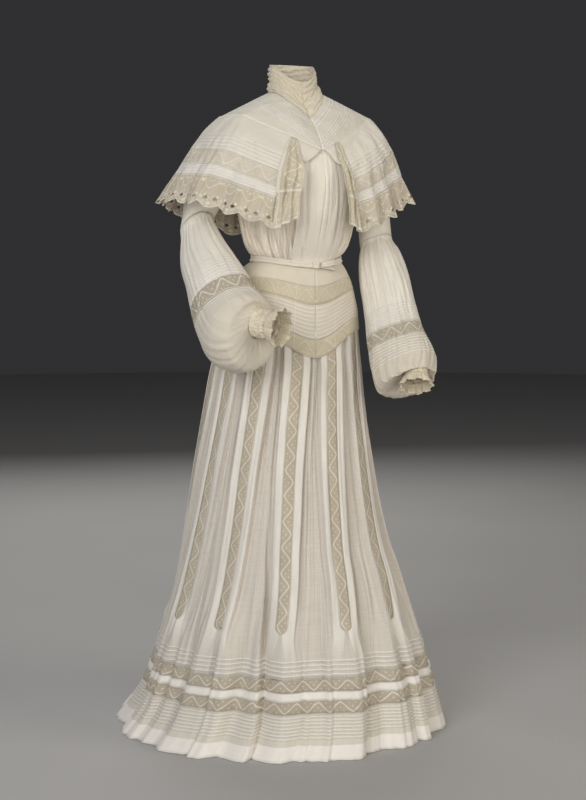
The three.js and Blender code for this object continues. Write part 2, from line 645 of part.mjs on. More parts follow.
// Lower sleeves: full puffs that sag below the forearm and are drawn in to the cuff. Each ring has a middle, a
// radius, how far its inner side sags along the arm, and how deep its gathers are.
const LOWER_SLEEVES = {
  right: {
    along: [0.16, -0.7, -0.69],
    turnsFrom: 3,
    rings: [
      { ring: 0, x: -219, y: 32.5, z: 1083, radius: 38, sag: 0, gather: 1.5 },
      { ring: 1, x: -221, y: -5, z: 1020, radius: 57, sag: 0, gather: 1.5 },
      { ring: 2, x: -214, y: -43, z: 972, radius: 67, sag: 0, gather: 1 },
      { ring: 3, x: -202, y: -82, z: 906, radius: 79, sag: 4, gather: 0 },
      { ring: 4, x: -194, y: -114, z: 870, radius: 88, sag: 12, gather: 1 },
      { ring: 5, x: -184, y: -139, z: 861, radius: 76, sag: 22, gather: 3 },
      { ring: 5.6, x: -178, y: -147, z: 868, radius: 58, sag: 16, gather: 2 },
      { ring: 6, x: -168, y: -156, z: 885, radius: 32, sag: 0, gather: 1.5 },
    ],
  },
  left: {
    along: [0.1, -0.38, -0.92],
    turnsFrom: 4,
    rings: [
      { ring: 0, x: 192, y: -8, z: 1047, radius: 36, sag: 0, gather: 1.5 },
      { ring: 1, x: 193, y: -20, z: 1013, radius: 47, sag: 0, gather: 1.5 },
      { ring: 2, x: 194, y: -43, z: 957, radius: 57, sag: 0, gather: 1 },
      { ring: 3, x: 195, y: -66, z: 899, radius: 60, sag: 0, gather: 0 },
      { ring: 4, x: 196, y: -88, z: 841, radius: 66, sag: 4, gather: 1 },
      { ring: 5, x: 205, y: -110, z: 788, radius: 74, sag: 14, gather: 3 },
      { ring: 5.6, x: 207, y: -122, z: 757, radius: 67, sag: 18, gather: 2 },
      { ring: 6, x: 210, y: -138, z: 756, radius: 54, sag: 14, gather: 1 },
      { ring: 7, x: 212, y: -148, z: 778, radius: 29, sag: 0, gather: 1.5 },
    ],
  },
};

// A point of a ring about an arm. Its turn 0 is the side away from the body, and it goes round by the front.
function ringPoint(side, middle, along, radius, turn, sag = 0) {
  const outwards = unit(cross(along, [0, 0, -side]));
  const forwards = cross(along, outwards).map((value) => value * side);
  const point = add(add(middle, outwards, radius * Math.cos(turn)), forwards, radius * Math.sin(turn));
  return add(point, along, sag * (0.6 - 0.5 * Math.cos(turn) - 0.6 * Math.sin(turn)));
}

// Cuffs of lace with a small frill, along their own short line from the end of the puff.
const CUFFS = {
  right: { start: [-168, -156, 885], along: [0.5, -0.83, -0.14], length: 34, frill: 26, radius: 31 },
  left: { start: [212, -148, 778], along: [-0.25, -0.5, -0.83], length: 24, frill: 22, radius: 27 },
};
function cuffPoint(side, i, distance, wider = 0) {
  const { start, along, radius } = CUFFS[sideName(side)];
  const direction = unit(along);
  return ringPoint(side, add(start, direction, distance), direction, radius + wider, sleeveTurn(side, i));
}

function lowerSleevePoint(side, i, ring, plain = false) {
  const { along, rings, turnsFrom } = LOWER_SLEEVES[sideName(side)];
  const { x, y, z, radius, sag, gather } = readTable(rings, "ring", ring);
  const folded = radius - (i % 2 && !plain ? 2 * gather : 0);
  // The last rings turn to face along the cuff.
  const turned = clamp((ring - turnsFrom) / (rings.at(-1).ring - turnsFrom));
  const direction = unit(between(unit(along), unit(CUFFS[sideName(side)].along), turned));
  return ringPoint(side, [x, y, z], direction, folded, sleeveTurn(side, i), sag);
}

const UPPER_RINGS = [4, 3, 2, 1, 0];
for (const side of [-1, 1])
  wall(
    `upper_sleeve_${sideName(side)}`,
    IVORY,
    SLEEVE_COLUMNS,
    UPPER_RINGS.length,
    (i, j) =>
      j === 0
        ? add(lowerSleevePoint(side, i, 0, true), unit(LOWER_SLEEVES[sideName(side)].along), -0.65)
        : upperSleevePoint(side, sleeveTurn(side, i), UPPER_RINGS[j]),
    { closed: true },
  );

const SLEEVE_BANDS = [
  { name: "lower_sleeve", colour: IVORY, thick: CLOTH, right: [2.55, 1.8, 1.1, 0.4, 0], left: [3.75, 2.8, 1.8, 0.7, 0] },
  { name: "sleeve_lace", colour: NET, thick: LACE, right: [3, 2.55], left: [4.2, 3.75] },
  { name: "sleeve_puff", colour: IVORY, thick: CLOTH, right: [6, 5.6, 5, 4.3, 3.6, 3], left: [7, 6, 5.6, 5, 4.6, 4.2] },
];
for (const side of [-1, 1])
  for (const band of SLEEVE_BANDS) {
    const rings = band[sideName(side)];
    wall(
      `${band.name}_${sideName(side)}`,
      band.colour,
      SLEEVE_COLUMNS,
      rings.length,
      (i, j) => {
        if (rings[j] === LOWER_SLEEVES[sideName(side)].rings.at(-1).ring) return cuffPoint(side, i, -0.7, i % 2 ? 0 : 3);
        const seam = j === rings.length - 1 ? SEAM : 0;
        return add(lowerSleevePoint(side, i, rings[j]), unit(LOWER_SLEEVES[sideName(side)].along), seam);
      },
      { closed: true, thick: band.thick },
    );
  }
for (const side of [-1, 1]) {
  const { length, frill } = CUFFS[sideName(side)];
  wall(
    `cuff_${sideName(side)}`,
    NET,
    SLEEVE_COLUMNS,
    2,
    (i, j) => cuffPoint(side, i, j ? 0 : length),
    { closed: true, thick: LACE },
  );
  wall(
    `cuff_frill_${sideName(side)}`,
    NET,
    SLEEVE_COLUMNS,
    2,
    (i, j) => cuffPoint(side, i, j ? length + SEAM : length + frill, j ? 0 : 6 + (i % 2) * 5),
    { closed: true, thick: LACE },
  );
}

// Bow: a knot over the belt, with one loop and one end that lie towards the wearer's left. Each row is a place
// along the ribbon: degrees round from the front, how far up, and how far out of the belt.
const KNOT = [
  { turn: -4.4, up: 0, out: 1.1 },
  { turn: -2.4, up: 0, out: 5.4 },
  { turn: 0, up: 0, out: 6.4 },
  { turn: 2.4, up: 0, out: 5.4 },
  { turn: 4, up: 0, out: 1.1 },
];
const LOOP = [
  { turn: 4.7, up: 0, out: 3.4 },
  { turn: 11, up: 1, out: 3.2 },
  { turn: 18, up: 2, out: 3.4 },
  { turn: 24, up: 2, out: 4 },
  { turn: 26.5, up: 2, out: 6.2 },
  { turn: 24, up: 2, out: 8.6 },
  { turn: 18, up: 2, out: 10 },
  { turn: 11, up: 1, out: 9.4 },
  { turn: 4.7, up: 0, out: 7.4 },
];
const END = [
  { turn: 4.7, up: -2, out: 1.7 },
  { turn: 10, up: -4, out: 1.7 },
  { turn: 17, up: -7, out: 1.7 },
  { turn: 26, up: -12, out: 1.7 },
];
for (const ribbon of [
  { name: "bow_knot", places: KNOT, half: 6.5, thick: CLOTH },
  { name: "bow_loop", places: LOOP, half: 5.5, thick: 0.8 },
  { name: "bow_end", places: END, half: 5, thick: 0.8 },
])
  wall(
    ribbon.name,
    WHITE,
    ribbon.places.length,
    2,
    (i, j) => {
      const { turn, up, out } = ribbon.places[i];
      return beltPoint(turn * DEGREE, up + (j ? ribbon.half : -ribbon.half), out);
    },
    { thick: ribbon.thick },
  );

dress.position.z = -SHOULDER_HEIGHT;
const part = new THREE.Group();
part.add(dress);
export default part;
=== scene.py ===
import functools
import math
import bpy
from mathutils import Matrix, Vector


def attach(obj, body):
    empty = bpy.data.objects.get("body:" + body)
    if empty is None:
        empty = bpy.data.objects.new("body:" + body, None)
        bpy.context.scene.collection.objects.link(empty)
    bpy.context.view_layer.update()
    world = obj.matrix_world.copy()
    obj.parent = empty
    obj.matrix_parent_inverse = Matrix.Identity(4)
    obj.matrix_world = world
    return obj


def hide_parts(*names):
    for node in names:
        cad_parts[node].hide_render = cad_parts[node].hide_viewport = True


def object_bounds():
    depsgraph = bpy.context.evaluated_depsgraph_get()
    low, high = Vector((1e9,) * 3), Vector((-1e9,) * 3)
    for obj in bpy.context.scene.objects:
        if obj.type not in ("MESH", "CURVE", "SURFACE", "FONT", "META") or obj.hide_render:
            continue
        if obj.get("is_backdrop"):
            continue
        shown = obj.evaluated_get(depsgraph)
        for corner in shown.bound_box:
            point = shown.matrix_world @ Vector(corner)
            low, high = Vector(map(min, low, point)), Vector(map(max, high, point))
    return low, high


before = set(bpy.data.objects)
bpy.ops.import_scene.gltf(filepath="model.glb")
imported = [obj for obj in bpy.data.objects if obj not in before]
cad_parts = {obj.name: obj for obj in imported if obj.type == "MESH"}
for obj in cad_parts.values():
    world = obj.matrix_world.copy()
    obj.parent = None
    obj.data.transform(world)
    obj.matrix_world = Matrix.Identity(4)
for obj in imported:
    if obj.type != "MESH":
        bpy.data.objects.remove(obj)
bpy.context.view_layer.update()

from types import SimpleNamespace

import bmesh
import bpy
from mathutils import Vector, noise

# A wedding dress of sheer ivory muslin and zigzag lace, each piece laid over its solid. Sizes are
# millimetres, and heights count from the floor that the hem touches. +X is the wearer's left and -Y the
# wearer's front.
MM = 0.001
TURN = 2 * math.pi
SIDES = ((-1, "right"), (1, "left"))
SHOULDER = 1311  # height of the shoulder ends, where the frame's origin is
CLOTH = 1.4  # thickness of a solid's wall
SEAM = 0.12  # gap between two pieces that are sewn together
SHELL, LACE_SHELL = 0.5, 0.4  # thickness of muslin or ribbon, and of lace

# Numbers and points.


def mix(a, b, t):
    return a + (b - a) * t


def clamp(t, low=0.0, high=1.0):
    return min(high, max(low, t))


def ease(t):
    """0 up to 0 and 1 from 1 on, with a smooth rise between them."""
    t = clamp(t)
    return t * t * (3 - 2 * t)


def steps(start, end, count):
    """Evenly spaced places from start to end, both included."""
    return [mix(start, end, k / count) for k in range(count + 1)]


def stepped(places, cells):
    """Places from each given one to the next, with that many cells between them."""
    out = [places[0]]
    for low, high, count in zip(places, places[1:], cells):
        out += steps(low, high, count)[1:]
    return out


def in_turn(side, places):
    """Places of a piece on the right, -1, or the left, 1, brought into the order that is anticlockwise from
    above."""
    return places if side > 0 else places[::-1]


def between_rows(values, place):
    """A straight line through values given at 0, 1, 2 and so on."""
    k = int(clamp(math.floor(place), 0, len(values) - 2))
    return mix(values[k], values[k + 1], place - k)


def table(columns, *rows):
    """A table of sizes, read at any place along its first column by a smooth curve through its rows."""
    names = columns.split()

    @functools.lru_cache(maxsize=8192)
    def look(at):
        place = clamp(at, rows[0][0], rows[-1][0])
        k = max(1, next(n for n, row in enumerate(rows) if row[0] >= place))
        before, low, high, after = (rows[int(clamp(n, 0, len(rows) - 1))] for n in (k - 2, k - 1, k, k + 1))
        span = high[0] - low[0]
        t = (place - low[0]) / span
        sizes = []
        for b, l, h, a in zip(before, low, high, after):
            slope_low = (h - b) / (high[0] - before[0]) * span
            slope_high = (a - l) / (after[0] - low[0]) * span
            ends = l * (2 * t**3 - 3 * t**2 + 1) + h * (3 * t**2 - 2 * t**3)
            sizes.append(ends + slope_low * (t**3 - 2 * t**2 + t) + slope_high * (t**3 - t**2))
        return SimpleNamespace(**dict(zip(names, sizes)))

    return look


def on_oval(section, angle, height, out=0.0):
    """A point of a level oval, at an angle from the front that is positive towards the wearer's left."""
    deep = section.front if math.cos(angle) > 0 else section.back
    shift, set_back = getattr(section, "shift", 0), getattr(section, "set_back", 0)
    x = shift + (section.wide + out) * math.sin(angle)
    y = set_back - (deep + out) * math.cos(angle)
    return Vector((x, y, height))


def wave(a, b, c=0.0):
    """Smooth uneven height and depth, from about -1 to 1, the same on each run."""
    return noise.noise(Vector((a, b, c))) * 1.6


def creases(a, b, c=0.0, width=0.25):
    """Thin uneven creases: 1 along each, and 0 between them."""
    return math.exp(-((wave(a, b, c) / width) ** 2))


def signed(angle):
    """A turn of 0 to TURN as one of up to half a turn to either side of the front."""
    return angle - TURN if angle > math.pi else angle


def towards_front(angle, reach):
    """1 at the centre front, and 0 from reach degrees on."""
    return clamp(1 - abs(angle) / math.radians(reach))


def towards_back(angle, reach):
    """1 at the centre back, and 0 from reach degrees on."""
    return clamp(1 - (math.pi - abs(angle)) / math.radians(reach))


# The figure's outline.

TORSO = table(
    "height wide front back",
    (990, 91, 90, 84),
    (1012, 92, 91, 82),
    (1035, 106, 103, 89),
    (1060, 118, 114, 93),
    (1090, 126, 124, 99),
    (1121, 132, 130, 105),
    (1160, 139, 134, 112),
    (1185, 146, 133, 116),
    (1220, 157, 127, 116),
    (1250, 165, 118, 111),
    (1280, 169, 107, 104),
    (1311, 170, 92, 92),
    (1330, 168, 82, 82),
)
HIPS = table(
    "height wide front back set_back",
    (780, 165, 128, 182, 30),
    (800, 163, 126, 178, 30),
    (856, 158, 122, 172, 28),
    (900, 152, 119, 165, 25),
    (956, 134, 111, 140, 18),
    (990, 112, 99, 112, 8),
    (1008, 95, 92, 88, 1),
    (1025, 94, 92, 84, 0),
)
SKIRT = table(
    "height wide front back set_back shift turn",
    (0, 360, 352, 400, 14, -26, -18),
    (52, 332, 330, 360, 14, -14, -17.5),
    (107, 313, 310, 330, 14, -9, -17),
    (168, 294, 290, 304, 14, -8, -16.4),
    (231, 276, 270, 282, 15, -8, -15.6),
    (292, 257, 250, 262, 16, -8, -14.2),
    (351, 240, 232, 247, 18, -10, -12.6),
    (398, 226, 216, 238, 20, -13, -11.2),
    (475, 210, 194, 228, 22, -14, -8.8),
    (560, 197, 168, 214, 25, -12, -6),
    (643, 184, 150, 202, 28, -9, -3.4),
    (717, 173, 138, 192, 30, -6, -1.2),
    (780, 166, 129, 183, 30, -3, 0),
    (870, 157, 121, 170, 27, 0, 0),
)


def torso_point(angle, height, out=0.0):
    return on_oval(TORSO(height), angle, height, out)


def hip_point(angle, height, out=0.0):
    return on_oval(HIPS(height), angle, height, out)


def waist_height(angle):
    """Height of the waist seam, lowest at the centre front."""
    return 1011 - 12 * math.cos(angle) ** 3


def basque_edge_height(angle):
    return 856 - 54 * math.exp(-((angle / math.radians(28)) ** 2)) - 22 * towards_back(angle, 60) ** 2


def yoke_edge_height(angle):
    return 1311 - 73 * towards_front(angle, 60) ** 1.1 - 56 * towards_back(angle, 65) ** 1.1


def neck_height(angle):
    return 1362 - 55 * towards_front(angle, 75) ** 1.2 + 4 * towards_back(angle, 90)


# Finishes.


class Finish:
    """A material and its nodes, with short ways to wire them."""

    def __init__(self, name, roughness=0.82, sheen=0.25):
        self.material = bpy.data.materials.new(name)
        self.material.use_nodes = True
        self.nodes = self.material.node_tree.nodes
        self.links = self.material.node_tree.links
        self.shader = self.nodes["Principled BSDF"]
        self.shader.inputs["Roughness"].default_value = roughness
        self.shader.inputs["Sheen Weight"].default_value = sheen
        self.shader.inputs["Sheen Roughness"].default_value = 0.6
        self.shader.inputs["Specular IOR Level"].default_value = 0.2
        coordinates = self.nodes.new("ShaderNodeTexCoord")
        self.place = coordinates.outputs["Object"]
        self.cut = coordinates.outputs["UV"]

    def feed(self, socket, value):
        if isinstance(value, bpy.types.NodeSocket):
            self.links.new(value, socket)
        elif hasattr(value, "__len__"):
            socket.default_value = value[: len(socket.default_value)]
        else:
            socket.default_value = value

    def math(self, operation, *values):
        node = self.nodes.new("ShaderNodeMath")
        node.operation = operation
        for socket, value in zip(node.inputs, values):
            self.feed(socket, value)
        return node.outputs[0]

    def times(self, *values):
        return functools.reduce(lambda a, b: self.math("MULTIPLY", a, b), values)

    def plus(self, *values):
        return functools.reduce(lambda a, b: self.math("ADD", a, b), values)

    def highest(self, *values):
        return functools.reduce(lambda a, b: self.math("MAXIMUM", a, b), values)

    def minus(self, a, b):
        return self.math("SUBTRACT", a, b)

    def inverse(self, value):
        return self.minus(1.0, value)

    def absolute(self, value):
        return self.math("ABSOLUTE", value)

    def to_and_fro(self, value, reach):
        """Value folded to run from 0 up to reach and down again."""
        return self.math("PINGPONG", value, reach)

    def slant(self, across, up):
        return self.math("SQRT", self.plus(self.times(across, across), self.times(up, up)))

    def apart(self, vector):
        node = self.nodes.new("ShaderNodeSeparateXYZ")
        self.links.new(vector, node.inputs[0])
        return node.outputs

    def joined(self, x, y, z=0.0):
        node = self.nodes.new("ShaderNodeCombineXYZ")
        for socket, value in zip(node.inputs, (x, y, z)):
            self.feed(socket, value)
        return node.outputs[0]

    def scaled(self, vector, *scale):
        node = self.nodes.new("ShaderNodeMapping")
        self.links.new(vector, node.inputs["Vector"])
        node.inputs["Scale"].default_value = scale
        return node.outputs[0]

    def uneven(self, vector, scale=1.0, detail=2.0):
        node = self.nodes.new("ShaderNodeTexNoise")
        self.links.new(vector, node.inputs["Vector"])
        node.inputs["Scale"].default_value = scale
        node.inputs["Detail"].default_value = detail
        return node.outputs["Fac"]

    def streaks(self, across, along, detail=2.0):
        """Streaks in the cloth's own cut, so many across it and along it."""
        return self.uneven(self.scaled(self.cut, across, along, 1), 1.0, detail)

    def ramp(self, value, low, high, start=0.0, end=1.0):
        """Value brought smoothly from low..high to start..end."""
        node = self.nodes.new("ShaderNodeMapRange")
        node.interpolation_type = "SMOOTHSTEP"
        for socket, number in zip(node.inputs, (value, low, high, start, end)):
            self.feed(socket, number)
        return node.outputs["Result"]

    def blend(self, share, low, high):
        node = self.nodes.new("ShaderNodeMix")
        node.data_type = "RGBA"
        inputs = {i.identifier: i for i in node.inputs}
        self.feed(inputs["Factor_Float"], share)
        self.feed(inputs["A_Color"], low)
        self.feed(inputs["B_Color"], high)
        return {o.identifier: o for o in node.outputs}["Result_Color"]

    def within(self, value, low, high, soft):
        """1 between low and high, with soft edges."""
        above = self.ramp(value, low - soft, low + soft)
        return self.times(above, self.ramp(value, high - soft, high + soft, 1.0, 0.0))

    def rows(self, value, first, spacing, count, half):
        """Stitched rows: 1 on each of a number of lines, spacing apart, from the first."""
        from_line = self.to_and_fro(self.minus(value, first), spacing / 2)
        line = self.ramp(from_line, half * 0.4, half, 1.0, 0.0)
        end = first + spacing * (count - 0.5)
        return self.times(line, self.within(value, first - spacing / 2, end, half / 4))

    def tucked(self, sets):
        """Masks of the light folds of sets of tucks, and of the shadow just below each fold."""
        lines = [self.rows(*sizes) for sizes in sets]
        unders = [self.rows(value, first - half * 1.5, *rest, half) for value, first, *rest, half in sets]
        return self.highest(*lines), self.highest(*unders)

    def finished(self, colour, *reliefs):
        """The material in its colour, with bumps that are each a height and how far it stands."""
        self.links.new(colour, self.shader.inputs["Base Color"])
        normal = None
        for height, distance in reliefs:
            node = self.nodes.new("ShaderNodeBump")
            node.inputs["Strength"].default_value = 1.0
            node.inputs["Distance"].default_value = distance * MM
            self.links.new(height, node.inputs["Height"])
            if normal:
                self.links.new(normal, node.inputs["Normal"])
            normal = node.outputs[0]
        if normal:
            self.links.new(normal, self.shader.inputs["Normal"])
        return self.material


def paint(red, green, blue):
    """A paint from screen values of 0 to 255."""
    return (*[((c / 255 + 0.055) / 1.055) ** 2.4 for c in (red, green, blue)], 1.0)


IVORY = paint(223, 215, 200)
# Sheer muslin's tone: partly the thin cloth's own, and partly painted shade of the dark inside of the skirt
# seen through it.
SHEER_AND_SHADE = paint(209, 201, 186)
BAND = paint(238, 232, 222)
CORD = paint(228, 221, 204)
NET = paint(208, 195, 173)
SHADE = paint(158, 147, 130)


def threads(cloth):
    """The muslin's weave: fine slubs across and along, in the cloth's place on the figure."""
    along = cloth.uneven(cloth.scaled(cloth.place, 1400, 1400, 60), 1.0, 1.0)
    across = cloth.uneven(cloth.scaled(cloth.place, 60, 60, 1400), 1.0, 1.0)
    return cloth.times(cloth.plus(along, across), 0.5)


def shaded(cloth, colour, *marks):
    """Colour darkened or lightened by marks, each a value about 0.5 and how strong it is."""
    for value, strength in marks:
        level = cloth.ramp(value, 0.25, 0.75, 1 - strength, 1 + strength)
        node = cloth.nodes.new("ShaderNodeVectorMath")
        node.operation = "SCALE"
        cloth.feed(node.inputs[0], colour)
        cloth.feed(node.inputs["Scale"], level)
        colour = node.outputs[0]
    return colour


def centre_seam(cloth, colour):
    """Colour with a light cord down the centre front and the centre back."""
    x, _, _ = cloth.apart(cloth.place)
    cord = cloth.ramp(cloth.absolute(x), 0.002, 0.0032, 1.0, 0.0)
    return cloth.blend(cloth.times(cord, 0.9), colour, paint(233, 225, 207))


def finish_muslin(name, colour, tucks=None, crush=0.4, white=0.9, stand=0.7, centred=False, streaks=None):
    """Plain muslin. Tucks are rows along the cut: axis, first, spacing, count and half width. Streaks follow
    the folds, as so many across the cut and along it, and are painted lighter on their raised ridges and
    darker in their hollows: partly uneven tone, partly painted fold shade."""
    cloth = Finish(name)
    weave = threads(cloth)
    tint = cloth.uneven(cloth.place, 14.0, 3.0)
    worn = cloth.uneven(cloth.place, 90.0, 3.0)
    reliefs = [(cloth.uneven(cloth.place, 24.0), crush * 4), (worn, crush), (weave, 0.12)]
    base = shaded(cloth, colour, (tint, 0.035), (weave, 0.05))
    if streaks:
        # Streaks of uneven tone, lighter on their own raised ridges and darker in their hollows: partly
        # painted fold shade.
        streak_and_shade = cloth.streaks(*streaks, 3.0)
        base = shaded(cloth, base, (streak_and_shade, 0.22))
        reliefs.insert(0, (streak_and_shade, 2.0))
    if tucks:
        place = cloth.apart(cloth.cut)
        line, under = cloth.tucked([(place[axis], *sizes) for axis, *sizes in tucks])
        base = cloth.blend(cloth.times(under, white * 0.15), base, SHADE)
        base = cloth.blend(cloth.times(line, white), base, BAND)
        reliefs.insert(0, (line, stand))
    if centred:
        base = centre_seam(cloth, base)
    return cloth.finished(base, *reliefs)


def zigzag(lace, repeat, across, size, cord, dot):
    """The lace's pattern in a strip: one wavy cord from edge to edge and three dots in each bay. Size is a
    repeat's length and the strip's width, and cord and dot are half widths."""
    long, wide = size
    fold = lace.to_and_fro(lace.times(repeat, 2.0), 1.0)
    soft = lace.ramp(fold, 0.0, 1.0)
    line = lace.plus(lace.times(lace.plus(fold, soft), 0.36), 0.14)
    off = lace.absolute(lace.minus(across, line))
    thread = lace.ramp(off, cord * 0.8 / wide, cord * 1.25 / wide, 1.0, 0.0)
    below = lace.math("LESS_THAN", across, line)
    above = lace.inverse(below)
    bay = lace.plus(lace.times(below, lace.inverse(fold)), lace.times(above, fold))
    height = lace.plus(lace.times(below, across), lace.times(above, lace.inverse(across)))
    marks = []
    for x, y in ((0.0, 0.45), (0.27, 0.2)):
        side = lace.times(lace.minus(bay, x), long / 2)
        rise = lace.times(lace.minus(height, y), wide)
        marks.append(lace.ramp(lace.slant(side, rise), dot * 0.75, dot * 1.15, 1.0, 0.0))
    return lace.highest(thread, *marks)


def netted(lace, figure, vector, mesh_size, thread, net, cord):
    """Net with figures worked on it, open between its threads."""
    node = lace.nodes.new("ShaderNodeTexVoronoi")
    node.voronoi_dimensions = "2D"
    node.feature = "DISTANCE_TO_EDGE"
    node.inputs["Scale"].default_value = 1 / mesh_size
    node.inputs["Randomness"].default_value = 0.35
    lace.links.new(vector, node.inputs["Vector"])
    strand = lace.ramp(node.outputs["Distance"], thread * 0.75, thread * 1.25, 1.0, 0.0)
    lace.links.new(lace.highest(figure, strand), lace.shader.inputs["Alpha"])
    colour = shaded(lace, lace.blend(figure, net, cord), (lace.uneven(lace.place, 30.0), 0.06))
    return lace.finished(colour, (figure, 0.5), (strand, 0.15))


def finish_lace(name, size, net, cord, thread, seamed=False):
    """Insertion lace. Its cut counts repeats along the strip, and 0 to 1 across it."""
    lace = Finish(name, roughness=0.9, sheen=0.1)
    repeat, across, _ = lace.apart(lace.cut)
    figure = zigzag(lace, repeat, across, size, cord=1.7, dot=1.7)
    border = lace.inverse(lace.within(across, 0.045, 0.955, 0.02))
    if seamed:
        border = lace.highest(border, lace.ramp(lace.to_and_fro(repeat, 0.5), 0.018, 0.032, 1.0, 0.0))
    vector = lace.joined(lace.times(repeat, size[0]), lace.times(across, size[1]))
    return netted(lace, lace.highest(figure, border), vector, 1.6, thread, net, cord)


# Where each ring of an edging flower lies in half a scallop: across, up, its radius and its cord's half
# width.
FLOWERS = [
    (11, 52, 0.2, 2.2), (-11, 38, 0.2, 2.2), (5, 55, 0.2, 1.7), (17, 55, 0.2, 1.7), (0, 17, 4.6, 1.2),
    (0, 17, 1.0, 1.2), (9, 24, 1.5, 1.6), (17, 19, 2.6, 1.1), (11, 10, 2.4, 1.1), (21, 9, 1.6, 1.7),
]


def finish_edging():
    """The cape's edging: a wavy cord above, flowers below. Its cut counts scallops, and goes from 0 at the
    edge to 1 at the seam."""
    lace = Finish("scalloped edging", roughness=0.9, sheen=0.1)
    repeat, across, _ = lace.apart(lace.cut)
    long, wide = 44, 62
    bay = lace.minus(0.5, lace.to_and_fro(lace.plus(repeat, 0.5), 0.5))
    side, rise = lace.times(bay, long), lace.times(across, wide)

    def ring(x, y, radius, half):
        off = lace.absolute(lace.minus(lace.slant(lace.minus(side, x), lace.minus(rise, y)), radius))
        return lace.ramp(off, half * 0.75, half * 1.2, 1.0, 0.0)

    scallop = lace.inverse(lace.absolute(lace.math("SINE", lace.times(repeat, 2 * TURN))))
    rim = lace.ramp(lace.minus(rise, lace.times(scallop, 2.4)), 2.0, 3.0, 1.0, 0.0)
    wave_line = lace.plus(0.73, lace.times(lace.math("SINE", lace.times(repeat, TURN)), 0.13))
    wavy = lace.ramp(lace.absolute(lace.minus(across, wave_line)), 0.016, 0.03, 1.0, 0.0)
    seam = lace.within(across, 0.965, 1.1, 0.01)
    figure = lace.highest(rim, wavy, *(ring(*sizes) for sizes in FLOWERS), seam)
    vector = lace.joined(lace.times(repeat, long), rise)
    return netted(lace, figure, vector, 2.2, 0.28, paint(212, 200, 178), paint(226, 218, 199))


def finish_cascade():
    """Cape muslin with lace along its front and lower edges. Its cut counts folds, and the share of the
    drop."""
    lace = Finish("cape cascade", roughness=0.9, sheen=0.1)
    fold, share, _ = lace.apart(lace.cut)
    across_down = lace.times(lace.minus(fold, 0.45), 1 / 4.5)
    down = zigzag(lace, lace.times(share, 4.2), across_down, (44, 34), cord=1.8, dot=1.8)
    across_along = lace.times(lace.inverse(share), 1 / 0.34)
    along = zigzag(lace, lace.times(fold, 0.5), across_along, (44, 60), cord=2.0, dot=2.4)
    low = lace.ramp(share, 0.655, 0.665)
    seams = lace.within(fold, 0.32, 0.48, 0.03), lace.within(share, 0.645, 0.675, 0.006)
    edges = lace.highest(*seams, lace.ramp(fold, 4.9, 4.95), lace.ramp(share, 0.97, 0.98))
    worked = lace.highest(lace.ramp(fold, 0.3, 0.34), low)
    figure = lace.times(worked, lace.highest(edges, lace.blend(low, down, along)))
    figure = lace.highest(figure, lace.inverse(worked))
    vector = lace.joined(lace.times(fold, 14.0), lace.times(share, 180.0))
    return netted(lace, figure, vector, 2.0, 0.3, paint(215, 204, 180), paint(232, 224, 206))


def finish_gore():
    """Skirt muslin: whiter where the tuck beside each insertion doubles it, streaked between, four tucks
    below."""
    cloth = Finish("skirt muslin")
    place, height, _ = cloth.apart(cloth.cut)
    station = cloth.minus(4.0, cloth.to_and_fro(place, 4.0))
    waver = cloth.times(cloth.minus(cloth.streaks(0.25, 28), 0.5), 0.14)
    beside = cloth.within(cloth.plus(station, waver), 1.04, 2.0, 0.03)
    doubled = cloth.times(beside, cloth.ramp(height, 0.17, 0.25))
    seam = cloth.times(cloth.within(station, 1.0, 1.06, 0.02), cloth.ramp(height, 0.235, 0.25))
    fine = cloth.streaks(26, 2.5)
    weave = threads(cloth)
    # The panels between the white bands are painted greyer: partly the single sheer layer's own tone, and
    # partly painted shade of the dark inside seen through it.
    sheer = cloth.blend(cloth.streaks(5, 1.2, 3.0), paint(201, 193, 181), paint(219, 211, 198))
    plain = shaded(cloth, sheer, (fine, 0.07), (cloth.streaks(0.6, 260), 0.035))
    white = shaded(cloth, paint(229, 223, 212), (cloth.streaks(1.0, 14), 0.05))
    tucks, under = cloth.tucked([(height, 0.163, 0.009, 4, 0.0019)])
    base = cloth.blend(doubled, plain, white)
    base = cloth.blend(cloth.times(under, 0.22), base, SHADE)
    base = cloth.blend(cloth.times(tucks, 0.95), base, BAND)
    base = cloth.blend(cloth.times(seam, 0.7), base, paint(226, 216, 196))
    worn = cloth.uneven(cloth.place, 80.0, 3.0)
    colour = shaded(cloth, base, (weave, 0.035))
    return cloth.finished(colour, (tucks, 0.7), (fine, 0.35), (worn, 0.4), (weave, 0.1))


def finish_flounce():
    """Lowest band: seven tucks, a sheer strip, then the doubled hem. Its cut gives the height above the
    floor."""
    cloth = Finish("hem flounce")
    _, height, _ = cloth.apart(cloth.cut)
    hem = cloth.ramp(height, 0.0285, 0.0292, 1.0, 0.0)
    tucks, under = cloth.tucked([(height, 0.0425, 0.0066, 7, 0.0016)])
    fine = cloth.streaks(22, 6)
    weave = threads(cloth)
    # The flounce's plain muslin is blended towards the sheer paint: painted shade of the dark inside seen
    # through the thin cloth.
    plain = shaded(cloth, cloth.blend(0.55, SHEER_AND_SHADE, IVORY), (fine, 0.08))
    base = cloth.blend(cloth.times(under, 0.26), plain, SHADE)
    base = cloth.blend(cloth.times(tucks, 0.95), base, BAND)
    base = cloth.blend(hem, base, BAND)
    raised = cloth.highest(tucks, hem)
    return cloth.finished(shaded(cloth, base, (weave, 0.04)), (raised, 0.7), (fine, 0.3), (weave, 0.1))


